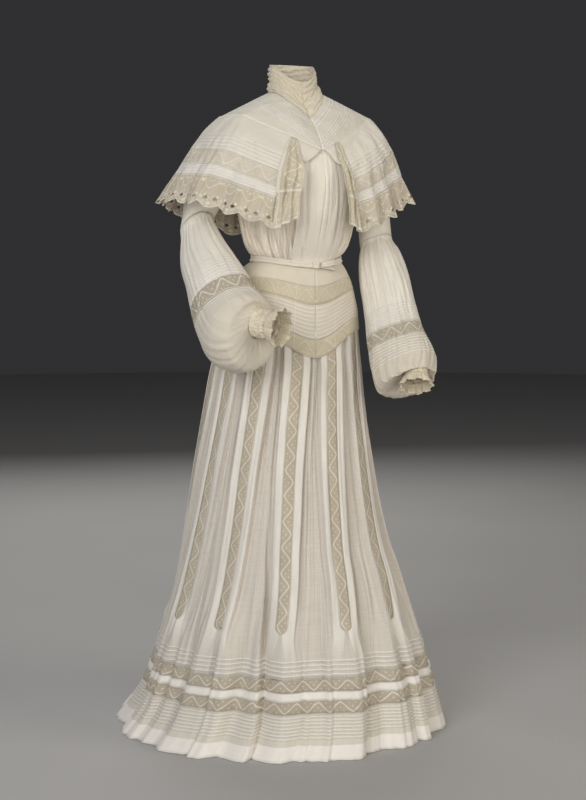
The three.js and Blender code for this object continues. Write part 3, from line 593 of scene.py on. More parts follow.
def finish_yoke():
    """Yoke muslin, with tucks that run down to a point at the centre front and the centre back."""
    cloth = Finish("yoke muslin")
    x, _, z = cloth.apart(cloth.place)
    from_centre = cloth.absolute(x)
    level = cloth.plus(z, 0.073, cloth.times(from_centre, -0.82))
    tucks, under = cloth.tucked([(level, 0.002, 0.0065, 4, 0.0017), (level, 0.048, 0.0075, 2, 0.0017)])
    _, share, _ = cloth.apart(cloth.cut)
    seam = cloth.highest(cloth.ramp(from_centre, 0.0016, 0.003, 1.0, 0.0), cloth.ramp(share, 0.965, 0.985))
    weave = threads(cloth)
    # The yoke's ground is painted darker than the other muslin: painted shade that tones down the light on
    # its upward face.
    base = cloth.blend(cloth.times(under, 0.1), paint(217, 209, 193), SHADE)
    base = cloth.blend(tucks, base, paint(244, 239, 229))
    base = cloth.blend(seam, base, paint(246, 240, 228))
    colour = shaded(cloth, base, (weave, 0.05), (cloth.uneven(cloth.place, 18.0, 3.0), 0.04))
    broad, worn = cloth.uneven(cloth.place, 24.0), cloth.uneven(cloth.place, 70.0, 3.0)
    return cloth.finished(colour, (tucks, 0.8), (seam, 0.2), (broad, 8.0), (worn, 1.6), (weave, 0.1))


def finish_ribbon():
    """Silk of the belt and bow, streaked across."""
    cloth = Finish("silk ribbon", roughness=0.5, sheen=0.4)
    along = cloth.streaks(6, 30)
    colour = shaded(cloth, paint(230, 221, 203), (along, 0.05), (cloth.uneven(cloth.place, 40.0), 0.03))
    return cloth.finished(colour, (along, 0.4), (cloth.uneven(cloth.place, 160.0), 0.3))


GORE = finish_gore()
FLOUNCE = finish_flounce()
YOKE = finish_yoke()
HEM_BAND = finish_muslin("hem band", BAND)
PIN_TUCKS = [(0, 0.0, 0.0045, 60, 0.0013)]
# The vest's muslin is painted lighter than the rest: painted light that lifts it out of the shadow under the
# cape.
VEST = finish_muslin("pin-tucked vest", paint(245, 235, 216), PIN_TUCKS, white=1.0, stand=0.3)
CAPE = finish_muslin("cape muslin", IVORY, [(1, 0.04, 0.0085, 5, 0.002)], crush=1.3)
CAPE_BAND = finish_muslin("cape band", paint(228, 221, 209), [(1, 0.004, 0.0075, 4, 0.0017)], crush=1.0)
BASQUE_SEAMS = (0, 0.0, 0.05, 22, 0.0012)
BASQUE_TOP = finish_muslin(
    "basque top", paint(221, 211, 191), [BASQUE_SEAMS], white=0.5, stand=0.3, centred=True
)
BASQUE_TUCKS = finish_muslin(
    "tucked basque", paint(219, 209, 189), [(1, 0.005, 0.0076, 20, 0.0018), BASQUE_SEAMS],
    white=0.65, stand=0.5, centred=True,
)
# The bodice muslin is painted lighter than the rest: painted light that lifts it where the cape overhangs and
# shades it.
BODICE = finish_muslin("bodice muslin", paint(238, 228, 211), crush=0.7, streaks=(130, 7))
SLEEVE = finish_muslin("sleeve muslin", paint(228, 221, 207), crush=0.6)
ARM = dict(crush=0.6, white=0.7, stand=0.5)
SLEEVE_TUCKS = finish_muslin("tucked sleeve", paint(230, 223, 210), [(1, 0.005, 0.0062, 8, 0.0018)], **ARM)
PUFF = finish_muslin("sleeve puff", paint(214, 205, 187), [(1, 0.004, 0.006, 7, 0.0017)], **ARM)
COLLAR_CLOTH = finish_muslin("collar muslin", paint(214, 204, 181), crush=0.8)
STRIP_LACE = finish_lace("skirt insertion lace", (52, 26), NET, CORD, 0.28)
HEM_LACE = finish_lace("hem lace", (50, 26), NET, CORD, 0.25)
CAPE_LACE = finish_lace("cape lace", (50, 30), paint(219, 209, 190), paint(230, 223, 208), 0.35)
SLEEVE_LACE = finish_lace("sleeve lace", (50, 28), paint(205, 193, 171), paint(231, 225, 209), 0.25)
BASQUE_LACE = finish_lace(
    "basque lace", (42, 30), paint(213, 202, 176), paint(222, 212, 190), 0.36, seamed=True
)
CUFF_LACE = finish_lace("cuff lace", (24, 18), paint(221, 208, 181), paint(228, 218, 196), 0.4)
EDGING = finish_edging()
CASCADE = finish_cascade()
RIBBON = finish_ribbon()

# Cutting a piece of cloth.


def cloth(name, across, up, point, cut, finish, slot, *, closed=False, keep=None, held="gathered"):
    """A thin shell of cloth over a grid. across lists the columns, anticlockwise seen from above, and up
    the rows from the bottom. point gives each place in millimetres, and cut its place in the cut. keep says
    which cells stay, and a closed piece is joined to itself into a tube."""
    mesh = bpy.data.meshes.new(name)
    bm = bmesh.new()
    columns, rows = len(across) - 1, len(up) - 1
    bmesh.ops.create_grid(bm, x_segments=columns, y_segments=rows, size=0.5)
    spot = {v: (round((v.co.x + 0.5) * columns), round((v.co.y + 0.5) * rows)) for v in bm.verts}
    layer = bm.loops.layers.uv.new("cut")
    for face in bm.faces:
        face.smooth = True
        for loop in face.loops:
            i, j = spot[loop.vert]
            loop[layer].uv = cut(across[i], up[j])
    for v, (i, j) in spot.items():
        x, y, z = point(across[i], up[j])
        v.co = Vector((x, y, z - SHOULDER)) * MM
    if keep:
        cells = {f: [min(places) for places in zip(*(spot[v] for v in f.verts))] for f in bm.faces}
        gone = [f for f, cell in cells.items() if not keep(*cell)]
        bmesh.ops.delete(bm, geom=gone, context="FACES")
    if closed:
        bmesh.ops.remove_doubles(bm, verts=bm.verts, dist=0.00001)
    area = sum(f.calc_area() for f in bm.faces)
    bm.to_mesh(mesh)
    bm.free()

    def length(places):
        spots = [Vector(p) * MM for p in places]
        return sum((b - a).length for a, b in zip(spots, spots[1:]))

    wide = max(length([point(a, b) for a in across]) for b in up)
    tall = max(length([point(a, b) for b in up]) for a in across[:: max(1, columns // 8)])
    piece = bpy.data.objects.new(name + "_cloth", mesh)
    bpy.context.scene.collection.objects.link(piece)
    mesh.materials.append(finish)
    shell = piece.modifiers.new("shell", "SOLIDIFY")
    shell.thickness = (LACE_SHELL if slot == "lace" else SHELL) * MM
    shell.offset = -1
    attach(piece, "root")
    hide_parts(name)
    tall = max(tall, area / wide * 1.001)


# Skirt: twelve units round, each with a lace insertion in its middle and a fold at each side.

UNITS = 12
UNIT = TURN / UNITS
INSERTION_HALF = 13
INSERTION_END = 245  # height of an insertion's rounded lower end
GORE_BOTTOM = 155
GORE_STRAIGHT = 745  # height from which the gores turn in under the basque
# How deep the fold after each unit goes in, at the top and at the hem, from the centre front fold round.
FOLD_TOP = [9, 13, 12, 13, 12, 14, 15, 14, 12, 13, 12, 13]
FOLD_HEM = [10, 30, 16, 24, 18, 26, 32, 22, 27, 17, 14, 24]


def skirt_point(position, out, height):
    section = SKIRT(height)
    return on_oval(section, position * UNIT + math.radians(section.turn), height, out)


@functools.lru_cache(maxsize=4096)
def half_unit(height):
    """Half the width of a unit."""
    section = SKIRT(height)
    return (section.wide * 2 + section.front + section.back) / 4 * UNIT / 2


def insertion_half(height):
    """The insertion's half width, rounded off at its lower end."""
    short = clamp((INSERTION_END + INSERTION_HALF - height) / INSERTION_HALF)
    return max(INSERTION_HALF * math.sqrt(1 - short**2), 3.5)


# Pleats that open towards the hem: where each lies at the hem and at its top, in units round the skirt, the
# height of its top, how deep it is at the hem, and how far it takes to come out again on its gentle side.
PLEATS = [
    (0.27, 0.24, 390, 10, 0.3),
    (0.74, 0.88, 520, 26, 0.22),
    (1.62, 1.46, 790, 17, -0.3),
    (2.45, 2.5, 620, 15, 0.34),
    (3.4, 3.5, 430, 16, -0.3),
    (4.55, 4.45, 380, 13, 0.3),
    (5.36, 5.4, 460, 18, 0.28),
    (6.6, 6.5, 350, 13, -0.32),
    (7.42, 7.5, 430, 17, 0.3),
    (8.5, 8.52, 380, 14, -0.3),
    (9.66, 9.55, 700, 14, 0.3),
    (10.58, 10.46, 820, 15, -0.26),
    (11.36, 11.07, 560, 34, 0.3),
    (11.88, 11.8, 420, 9, -0.24),
]


def pleats(position, height):
    """How far the open pleats fall in: steep on one side, gentle on the other."""
    total = 0
    for low, high, top, deep, reach in PLEATS:
        grown = ease((top - height) / top * 1.25)
        off = (position - mix(low, high, clamp(height / top)) + UNITS / 2) % UNITS - UNITS / 2
        off = off / reach
        side = max(0, 1 - off) ** 1.4 if off > 0 else ease(1 + off * abs(reach) / 0.05)
        total -= deep * grown * side
    return total


def drape(position, height):
    """Soft uneven waves of the skirt, the same for gores and hem bands. Position counts units round the
    skirt."""
    loose = ease((600 - height) / 480)
    x, y = math.sin(position * UNIT), math.cos(position * UNIT)
    broad = wave(x * 9, y * 9, height * 0.0022)
    narrow = wave(x * 24, y * 24, 4 + height * 0.0035)
    crease = creases(x * 13, y * 13, height * 0.0016) * mix(2.4, 3.4, loose)
    crease += creases(x * 7, y * 7, 8 + height * 0.001, 0.16) * 2.5
    return broad * mix(1.2, 4.6, loose) + narrow * mix(1.0, 2.2, loose) - crease + pleats(position, height)


def fold_profile(share, depth):
    """How far the hem stands out, from the middle of a unit, 0, to the fold at its side, 1."""
    return 3 * (1 - share) - depth * math.cos(clamp((1 - share) / 0.5) * math.pi / 2) ** 2


def skirt_column(unit, side, station, height):
    """Position and stand-out of a station: -1 in the insertion's middle, 0 at its edge, 1 at the tuck's
    edge, 2 under the tuck and 3 on the fold between units."""
    fold = (unit + (side > 0)) % UNITS
    half = half_unit(height)
    released = ease((330 - height) / 180)
    top = between_rows([0, insertion_half(height), 29, 31, half], station + 1)
    hem = half * between_rows([0, 0.25, 0.5, 0.6, 1], station + 1)
    along = mix(top, hem, ease((INSERTION_END - height) / 80))
    share = along / half
    if station <= 0:
        out_top = 0
    elif station <= 1:
        out_top = 1.5 * station + 0.8 * math.sin(math.pi * station)
    elif station <= 2:
        out_top = mix(1.5, -FOLD_TOP[fold], station - 1)
    else:
        under = station - 2
        out_top = mix(-FOLD_TOP[fold], -0.6 * FOLD_TOP[fold], ease(under))
        crimp = wave(unit * 3.1 + side * under * 4.5, 2.5, height * 0.004)
        out_top += 4.5 * math.sin(under * math.pi) * crimp
    out = mix(out_top, fold_profile(share, FOLD_HEM[fold]), released)
    out = mix(out, min(out, -3) if station >= 3 else out, ease((height - 790) / 40))
    return unit + 0.5 + side * share / 2, out


def gore_point(key, row, trim=0.0):
    """Key is a unit, a side of it and a station. Rows are heights up to GORE_STRAIGHT, and above it they
    lead to the basque's edge, 845, and past it, 1000. Trim moves a place away from the insertion's middle."""
    unit, side, station = key
    rough, _ = skirt_column(unit, side, station, 800)
    edge = basque_edge_height(signed(rough % UNITS * UNIT))
    above = clamp((row - GORE_STRAIGHT) / 100)
    height = row if row <= GORE_STRAIGHT else mix(GORE_STRAIGHT, edge - 3, above)
    if row > 900:
        height = edge + 8
    position, out = skirt_column(unit, side, station, height)
    position += side * trim / half_unit(height) / 2
    out += drape(position, height) * (1 - above)
    free = skirt_point(position, out, height)
    if not above:
        return free
    tucked = hip_point(position * UNIT, height, min(out, 0) - CLOTH - 1.5)
    return free.lerp(tucked, ease(above))


SLOT_ROWS = [INSERTION_END, 246.2, 249, 253, 258]
GORE_ROWS = steps(GORE_BOTTOM + SEAM, 240, 12) + SLOT_ROWS + steps(270, GORE_STRAIGHT, 34)
SLOT_ROW = GORE_ROWS.index(INSERTION_END)
GORE_ROWS += [765, 785, 805, 825, 845, 1000]
STATIONS = stepped([0, 1, 2, 3], [5, 2, 16])
# Each gore runs from the middle of one insertion to the middle of the third after it.
for name, first in (("left", 1), ("back", 4), ("right", 7), ("front", 10)):
    keys = [(first, 1, -0.99)]
    for unit in range(first, first + 3):
        # The fold between two units is one column, so the second unit starts after it.
        keys += [(unit % UNITS, 1, s) for s in [-0.5] + STATIONS]
        keys += [((unit + 1) % UNITS, -1, s) for s in STATIONS[-2::-1]]
    keys += [((first + 3) % UNITS, -1, s) for s in (-0.5, -0.99)]

    def gore_keep(i, j, keys=keys):
        return j < SLOT_ROW or max(keys[i][2], keys[i + 1][2]) > 0

    def gore_cut(key, row, first=first):
        unit, side, station = key
        return (unit if unit >= first else unit + UNITS) * 8 + 4 + side * (station + 1), row * MM

    cloth(f"skirt_gore_{name}", keys, GORE_ROWS, gore_point, gore_cut, GORE, "muslin", keep=gore_keep)

LACE_ROWS = SLOT_ROWS + steps(270, GORE_STRAIGHT, 30) + [770, 800, 825, 845, 1000]
for unit in range(UNITS):
    def strip_point(across, row, unit=unit):
        side = 1 if across > 0 else -1
        left, right = (gore_point((unit, s, 0), row, -SEAM) for s in (-1, 1))
        middle = left.lerp(right, (across + 1) / 2)
        return middle + Vector((0, 0, SEAM if row == INSERTION_END else 0))

    def strip_cut(across, row):
        return row / 52, (across + 1) / 2

    grid = steps(-1, 1, 4), LACE_ROWS
    cloth(f"skirt_lace_{unit + 1:02d}", *grid, strip_point, strip_cut, STRIP_LACE, "lace")


def hem_point(position, height):
    unit = math.floor(position)
    share = (position - unit) * 2 - 1
    fold = (unit + (share > 0)) % UNITS
    out = fold_profile(abs(share), FOLD_HEM[fold]) * ease((420 - height) / 250)
    return skirt_point(position, out + drape(position, height), height)


def hem_lace_cut(repeats, shift, low):
    """A cut with so many repeats round the hem, of lace that starts at the height low."""
    return lambda position, height: (position / UNITS * repeats + shift, (height - low) / HEM_LACE_WIDE)


def hem_cut(position, height):
    return position * 8, height * MM


HEM_LACE_WIDE = 26
FLOUNCE_TOP, BAND_FOOT, BAND_TOP = 87, 113, 129  # heights of the seams between the hem's rings
UPPER_CUT, LOWER_CUT = hem_lace_cut(40, 0, BAND_TOP), hem_lace_cut(42, 0.3, FLOUNCE_TOP)
# The hem's rings: name, lower and upper height, rows of cells, finish, slot and cut.
HEM_RINGS = [
    ("hem_lace_upper", BAND_TOP, GORE_BOTTOM, 3, HEM_LACE, "lace", UPPER_CUT),
    ("hem_band", BAND_FOOT, BAND_TOP, 3, HEM_BAND, "muslin_white", hem_cut),
    ("hem_lace_lower", FLOUNCE_TOP, BAND_FOOT, 3, HEM_LACE, "lace", LOWER_CUT),
    ("hem_flounce", 0, FLOUNCE_TOP, 12, FLOUNCE, "muslin_white", hem_cut),
]
for name, low, high, rows, finish, slot, cut in HEM_RINGS:
    places = steps(0, UNITS, UNITS * 40)
    cloth(name, places, steps(low, high - SEAM, rows), hem_point, cut, finish, slot, closed=True)

# Basque, belt and bow.


# The basque's rings: name, share of its height at their lower and upper edge, rows of cells, finish and
# slot.
BASQUE_RINGS = [
    ("basque_lace_lower", 1, 0.81, 5, BASQUE_LACE, "lace"),
    ("basque_tucks", 0.81, 0.43, 12, BASQUE_TUCKS, "muslin"),
    ("basque_lace_upper", 0.43, 0.24, 5, BASQUE_LACE, "lace"),
    ("basque_top", 0.24, 0, 8, BASQUE_TOP, "muslin"),
]
BASQUE_LACE_SHARE = 0.19  # of the basque's height, taken by each of its laces
BASQUE_TALL = 0.17  # metres, from the waist to the edge
for name, low, high, rows, finish, slot in BASQUE_RINGS:
    def basque_point(place, share, high=high):
        angle = signed(place * TURN)
        height = mix(waist_height(angle), basque_edge_height(angle), share)
        x, y, z = hip_point(angle, height, -0.6 + 0.6 * wave(place * 30, share * 5, 9))
        return x, y, z - (SEAM if share == high else 0)

    def basque_cut(place, share, low=low, slot=slot):
        if slot == "lace":
            return place * 20, (low - share) / BASQUE_LACE_SHARE
        return place, (low - share) * BASQUE_TALL

    grid = steps(0, 1, 180), steps(low, high, rows)
    cloth(name, *grid, basque_point, basque_cut, finish, slot, closed=True)

BELT_OUT = CLOTH + 2.9


def belt_point(angle, up, out=0.0):
    height = waist_height(angle) + up
    hip = hip_point(angle, min(height, waist_height(angle)), BELT_OUT + out)
    blouse = torso_point(angle, height, BELT_OUT + out)
    widest = max((hip, blouse), key=lambda p: math.hypot(p.x, p.y))
    return Vector((widest.x, widest.y, height))


def belt_cloth_point(place, up):
    crumple = 0.8 * wave(place * 40, up * 0.25, 3) - 0.5 * math.cos(up * 1.1)
    return belt_point(signed(place * TURN), up, crumple)


def belt_cut(place, up):
    return place * 10, up / 12


belt_places = steps(0, 1, 160), steps(-6, 6, 8)
cloth("belt", *belt_places, belt_cloth_point, belt_cut, RIBBON, "ribbon", closed=True, held="stretched")

# Ribbons of the bow, lying over the belt: turn from the front in degrees, height from the belt's middle
# and how far each stands out.
KNOT = table(
    "place turn up out",
    (0, -4.4, 0, 1.1), (1, -2.4, 0, 5.4), (2, 0, 0, 6.4), (3, 2.4, 0, 5.4), (4, 4, 0, 1.1),
)
LOOP = table(
    "place turn up out",
    (0, 4.7, 0, 3.4), (1, 11, 1, 3.2), (2, 18, 2, 3.4), (3, 24, 2, 4), (4, 26.5, 2, 6.2),
    (5, 24, 2, 8.6), (6, 18, 2, 10), (7, 11, 1, 9.4), (8, 4.7, 0, 7.4),
)
END = table("place turn up out", (0, 4.7, -2, 1.7), (1, 10, -4, 1.7), (2, 17, -7, 1.7), (3, 26, -12, 1.7))
BOW = [("bow_knot", KNOT, 4, 6.5, 1), ("bow_loop", LOOP, 8, 5.5, 0.62), ("bow_end", END, 3, 5, 0.62)]
for name, ribbon, places, half, pinch in BOW:
    def ribbon_point(place, across, ribbon=ribbon, half=half, pinch=pinch):
        row = ribbon(place)
        up = row.up + across * half * mix(pinch, 1, ease(abs(row.turn) / 12))
        return belt_point(math.radians(row.turn), up, row.out + 0.4 * math.sin(across * 5))

    def ribbon_cut(place, across):
        return place * 0.5, across

    grid = steps(0, places, places * 5), steps(-1, 1, 6)
    cloth(name, *grid, ribbon_point, ribbon_cut, RIBBON, "ribbon", held="folded")

# Bodice and vest.

ARMHOLE = table("height angle", (1185, 90), (1200, 74), (1225, 63), (1255, 58.5), (1285, 57), (1311, 58))


def armhole_angle(height):
    return 90 if height <= 1185 else ARMHOLE(height).angle


# Folds drawn up from the waist: turn from the front at the waist and at the fold's top, the share it
# reaches, how deep it is, and its half width in degrees.
WAIST_FOLDS = [
    (22, 24, 0.35, 5, 1.4),
    (28, 33, 0.6, 8, 1.7),
    (36, 46, 0.7, 8, 2.0),
    (46, 58, 0.5, 6, 1.6),
    (56, 71, 0.7, 9, 2.3),
    (69, 82, 0.5, 6, 2.0),
    (98, 92, 0.5, 7, 2.4),
    (113, 106, 0.6, 8, 2.3),
    (127, 122, 0.45, 6, 2.0),
    (141, 137, 0.6, 8, 2.2),
    (155, 153, 0.5, 6, 2.0),
    (170, 169, 0.6, 7, 2.2),
]


def waist_folds(angle, share):
    turn = math.degrees(abs(angle)) + (1.8 if angle > 0 else 0)
    total = 0
    for low, high, top, deep, half in WAIST_FOLDS:
        grown = ease((top - share) / top * 1.4) * ease(share / 0.04 + 0.3)
        off = (turn - mix(low, high, clamp(share / top)) - 1.5 * wave(low, share * 5)) / (half * (1 + share))
        total += deep * grown * math.exp(-off * off)
    return total


def gathers(angle, share):
    """Vertical folds drawn in at the waist that fade as they rise."""
    fade = ease((0.7 - share) / 0.6) * ease(share / 0.03 + 0.2)
    slant = angle + 0.3 * math.sin(angle) * share
    folds = 1.15 * creases(slant * 14, share * 1.1, 1, 0.26) + 0.6 * creases(slant * 29, share * 1.9, 6, 0.32)
    blouse = 4.2 * ease(share / 0.035) * ease((0.22 - share) / 0.16)
    high_creases = 2 * creases(slant * 8, share, 3, 0.2) * (1 - fade)
    return blouse - 3.9 * fade * folds - 1.25 * waist_folds(angle, share) + 3 * fade - high_creases


def bodice_point(across, share, inner, is_back, side):
    """Across goes from the inner edge, whose turn is given, to the armhole and the side seam."""
    inner_angle = math.radians(inner)
    angle = inner_angle
    height = 0
    for _ in range(8):
        facing = math.pi - angle if is_back else angle
        height = mix(waist_height(facing) + SEAM, yoke_edge_height(facing) - 2, share)
        angle = mix(inner_angle, math.radians(armhole_angle(height)) - SEAM / 150, across)
    facing = side * (math.pi - angle if is_back else angle)
    return torso_point(facing, height, gathers(facing, share) - 0.3)


BODICE_ROWS = steps(0, 0.12, 6) + steps(0.16, 1, 22)
for side, name in SIDES:
    def front_point(across, share, side=side):
        return bodice_point(across, share, 19, False, side)

    def front_cut(across, share):
        return across * 0.15, share * 0.3

    grid = in_turn(side, steps(0, 1, 90)), BODICE_ROWS
    cloth(f"bodice_front_{name}", *grid, front_point, front_cut, BODICE, "muslin")


def back_point(across, share):
    return bodice_point(abs(across), share, 0, True, 1 if across < 0 else -1)


def back_cut(across, share):
    return across * 0.3, share * 0.3


cloth("bodice_back", steps(-1, 1, 160), BODICE_ROWS, back_point, back_cut, BODICE, "muslin")

VEST_HALF = table("share half", (0, 33), (0.25, 27), (0.6, 25), (0.85, 18), (1, 12))


# Deep folds of the vest: where each lies across it, how deep it is and its half width.
VEST_FOLDS = [(-0.66, 2.4, 0.06), (-0.02, 2.6, 0.03), (0.2, 1.6, 0.04), (0.62, 2.4, 0.06)]


def vest_point(across, share):
    angle = across * math.radians(VEST_HALF(share).half)
    height = mix(waist_height(angle), yoke_edge_height(angle) + 1.5, share)
    middle = math.sin(math.pi * clamp(share, 0.08, 0.9))
    pleat = 1.6 * wave(across * 5, share * 2, 6) * math.sin(math.pi * share)
    for fold, deep, half in VEST_FOLDS:
        off = (across - fold - 0.05 * wave(fold * 9, share * 2.2)) / half
        pleat -= deep * middle * math.exp(-off * off)
    pleat += 0.4 - 0.6 * creases(across * 4, share * 1.3, 4, 0.25) * middle
    pleat *= ease(share / 0.05)
    tucked = ease((share - 0.94) / 0.06)
    return torso_point(angle, height, mix(CLOTH + 1.9 + pleat, -1.3, tucked))


def vest_cut(across, share):
    return 0.075 + across * 0.0728, share * 0.26


VEST_ROWS = stepped([0.002, 0.06, 0.93, 1], [8, 36, 10])
cloth("vest_front", steps(-1, 1, 120), VEST_ROWS, vest_point, vest_cut, VEST, "muslin_white")

# Yoke and collar.

NECK = SimpleNamespace(wide=57, front=76, back=46, set_back=10)
COLLAR = table(
    "share wide front back set_back out",
    (0, 57, 76, 46, 10, 0.5),
    (0.2, 56, 66, 45, 13, 2),
    (0.4, 54, 56, 45, 16, -1),
    (0.7, 51, 50, 46, 18, 2),
    (1, 49, 49, 47, 18, 1),
)


def yoke_point(angle, share):
    neck = on_oval(NECK, angle, neck_height(angle))
    edge = torso_point(angle, yoke_edge_height(angle))
    swell = math.sin(math.pi * share) * 7 * math.cos(angle) ** 2
    push = -math.copysign(1, math.cos(angle)) * swell * 0.8
    return neck.lerp(edge, share) + Vector((0, push, swell * 0.6 - 0.3))


def collar_point(angle, share):
    ring = COLLAR(share)
    top = 1420 - 36 * max(0, math.cos(angle)) ** 1.5 + 5 * max(0, -math.cos(angle))
    height = mix(neck_height(angle) + SEAM, top, share)
    x, y = math.sin(angle), math.cos(angle)
    fold = 1.9 * math.sin(share * 34 + 2.6 * math.cos(angle * 2) + 2.2 * wave(x * 4, y * 4, share * 3))
    fold -= 1.2 * creases(x * 5, share * 3, y * 5)
    fold *= ease(share / 0.08) * ease((1 - share) / 0.1 + 0.2)
    return on_oval(ring, angle, height, ring.out * min(1, share * 10) + fold - ease(share / 0.06))


for side, name in SIDES:
    turns = in_turn(side, [math.radians(t) * side for t in steps(0.03, 179.97, 80)])
    cloth(f"yoke_{name}", turns, steps(1, 0, 18), yoke_point, lambda a, s: (a, s), YOKE, "muslin")
    cloth(f"collar_{name}", turns, steps(0, 1, 34), collar_point, lambda a, s: (a, s), COLLAR_CLOTH, "muslin")

# Cape collar.

# Half widths and depths of the cape down its length, and how far it drops below the yoke's edge.
BERTHA = table(
    "share right left front back side_drop front_drop back_drop",
    (0, 172, 172, 94, 94, 0, 0, 0),
    (0.22, 207, 196, 142, 133, 32, 40, 42),
    (0.45, 236, 219, 158, 146, 70, 84, 92),
    (0.6, 256, 232, 159, 152, 98, 112, 124),
    (0.72, 273, 243, 163, 157, 122, 134, 150),
    (1, 312, 266, 170, 166, 182, 197, 212),
)
# Broad waves of the cape: turn from the front, half width in degrees and how far each stands out.
FLUTES = [(33, 11, 9), (58, 12, 12), (103, 16, 14), (138, 14, 12), (165, 12, 12)]
CAPE_FRONT = {-1: 20.5, 1: 14.5}  # turn of its front edges
# Soft creases that hang down the cape: turn from the front on the right and on the left, half width, how
# far each stands out, and the share at which it starts.
CREASES = [
    (27, 24, 3.5, 5, 0.1),
    (35, 31, 3.2, -8, 0.2),
    (44, 38, 4.0, 6, 0.25),
    (51, 45, 3.0, -9, 0.35),
    (64, 57, 4.5, 7, 0.3),
    (72, 70, 4.0, -10, 0.45),
    (84, 82, 5.0, 5, 0.4),
    (96, 93, 4.0, -6, 0.5),
    (113, 118, 5.0, -8, 0.35),
    (128, 131, 4.0, 5, 0.4),
    (149, 146, 5.0, -7, 0.3),
    (158, 161, 4.0, 4, 0.45),
    (173, 172, 4.0, -5, 0.4),
]


def cape_point(angle, share):
    ring = BERTHA(share)
    turn = math.degrees(abs(angle))
    facing_front = math.cos(angle) > 0
    over_vest = 6.5 * towards_front(angle, 45) if facing_front else 0
    edge = yoke_edge_height(angle)
    hidden = ease(share / (0.12 if facing_front else 0.06))
    out = mix(0.3, CLOTH + 2.2 + over_vest + 1.2 * towards_back(angle, 60), hidden)
    flute = sum(stand * math.exp(-(((turn - crest) / half) ** 2)) for crest, half, stand in FLUTES)
    for right, left, half, stand, first in CREASES:
        crest = (right if angle < 0 else left) + 2.5 * wave(right, share * 1.6)
        flute += stand * ease((share - first) / 0.5) * math.exp(-(((turn - crest) / half) ** 2))
    flute += 3.8 * wave(angle * 5, 3, share) + 3.0 * wave(angle * 12, 7, share * 2.2)
    flute -= 5 * creases(angle * 6, share * 0.9, 5) * ease(share / 0.4)
    flute -= 2.6 * creases(angle * 12, share * 2, 2, 0.24)
    end_drop = ring.front_drop if facing_front else ring.back_drop
    drop = mix(ring.side_drop, end_drop, math.cos(angle) ** 2)
    free = ease(share / 0.22)
    height = edge - SEAM - drop * free
    top, body = TORSO(edge - SEAM), TORSO(height)
    flute = (flute - 6) * share**1.6
    small = wave(angle * 8, share * 4, 11) + wave(angle * 19, share * 6, 13) * 0.5
    flute += 2.6 * small * ease(share / 0.12)

    def clear(size, way):
        """The size at this share, but never under that of the body below it."""
        free_size = getattr(ring, way) + flute
        return max(mix(getattr(top, size) + out, free_size, free), getattr(body, size) + out)

    facing = "front" if facing_front else "back"
    wide, deep = clear("wide", "right" if angle < 0 else "left"), clear(facing, facing)
    return Vector((wide * math.sin(angle), -deep * math.cos(angle), height))


def cape_angle(side, place, share=1.0):
    """Place 0 is at the front end, which slants up to the yoke's point, and 1 at the centre back."""
    front = mix(0.6, CAPE_FRONT[side], clamp(share / 0.3) ** 1.7)
    return math.radians(mix(front, 179.85, place)) * side


# The seams of the cape's bands, as shares of its length, and then the bands: name, shares of their rows,
# finish, slot, and the cut at a place with the share up from the lower edge.
CLOTH_END, LACE_END, BAND_END = 0.45, 0.6, 0.72
CAPE_ROWS = stepped([CLOTH_END, 0.12, 0], [16, 10])
CAPE_BANDS = [
    ("bertha_cloth", CAPE_ROWS, CAPE, "muslin", lambda p, up: (p, 0.036 + up * 0.2)),
    ("bertha_lace", steps(LACE_END, CLOTH_END, 6), CAPE_LACE, "lace", lambda p, up: (p * 13.5, up / 0.15)),
    ("bertha_band", steps(BAND_END, LACE_END, 6), CAPE_BAND, "muslin_white", lambda p, up: (p, up * 0.25)),
]
SCALLOPS = 16
SCALLOP_CELLS = 20
EDGING_ROWS = stepped([1, 0.93, 0.9, BAND_END], [4, 3, 8])
for side, name in SIDES:
    places = in_turn(side, steps(0, 1, 150))
    for band, band_rows, finish, slot, spread in CAPE_BANDS:
        def band_point(place, share, side=side, seam=band_rows[-1]):
            x, y, z = cape_point(cape_angle(side, place, share), share)
            return x, y, z - (SEAM if share == seam > 0 else 0)

        def band_cut(place, share, low=band_rows[0], spread=spread):
            return spread(place, low - share)

        cloth(f"{band}_{name}", places, band_rows, band_point, band_cut, finish, slot)

    def edging_point(place, share, side=side):
        scallop = abs(math.sin(math.pi * place * SCALLOPS))
        dip = 0.045 * (1 - scallop) * ease((share - 0.9) / 0.1)
        x, y, z = cape_point(cape_angle(side, place), share - dip)
        return x, y, z - (SEAM if share == BAND_END else 0)

    def edging_keep(i, j):
        """Two rounded holes in each scallop, four cells wide and three high."""
        within = i % SCALLOP_CELLS
        column = within - (4 if within < SCALLOP_CELLS / 2 else 12)
        row = j - 4
        outside = not (0 <= column < 4 and 0 <= row < 3)
        return outside or (column in (0, 3) and row in (0, 2))

    def edging_cut(place, share):
        return place * SCALLOPS, (1 - share) / (1 - BAND_END)

    grid = in_turn(side, steps(0, 1, SCALLOPS * SCALLOP_CELLS)), EDGING_ROWS
    cloth(f"bertha_edging_{name}", *grid, edging_point, edging_cut, EDGING, "lace", keep=edging_keep)

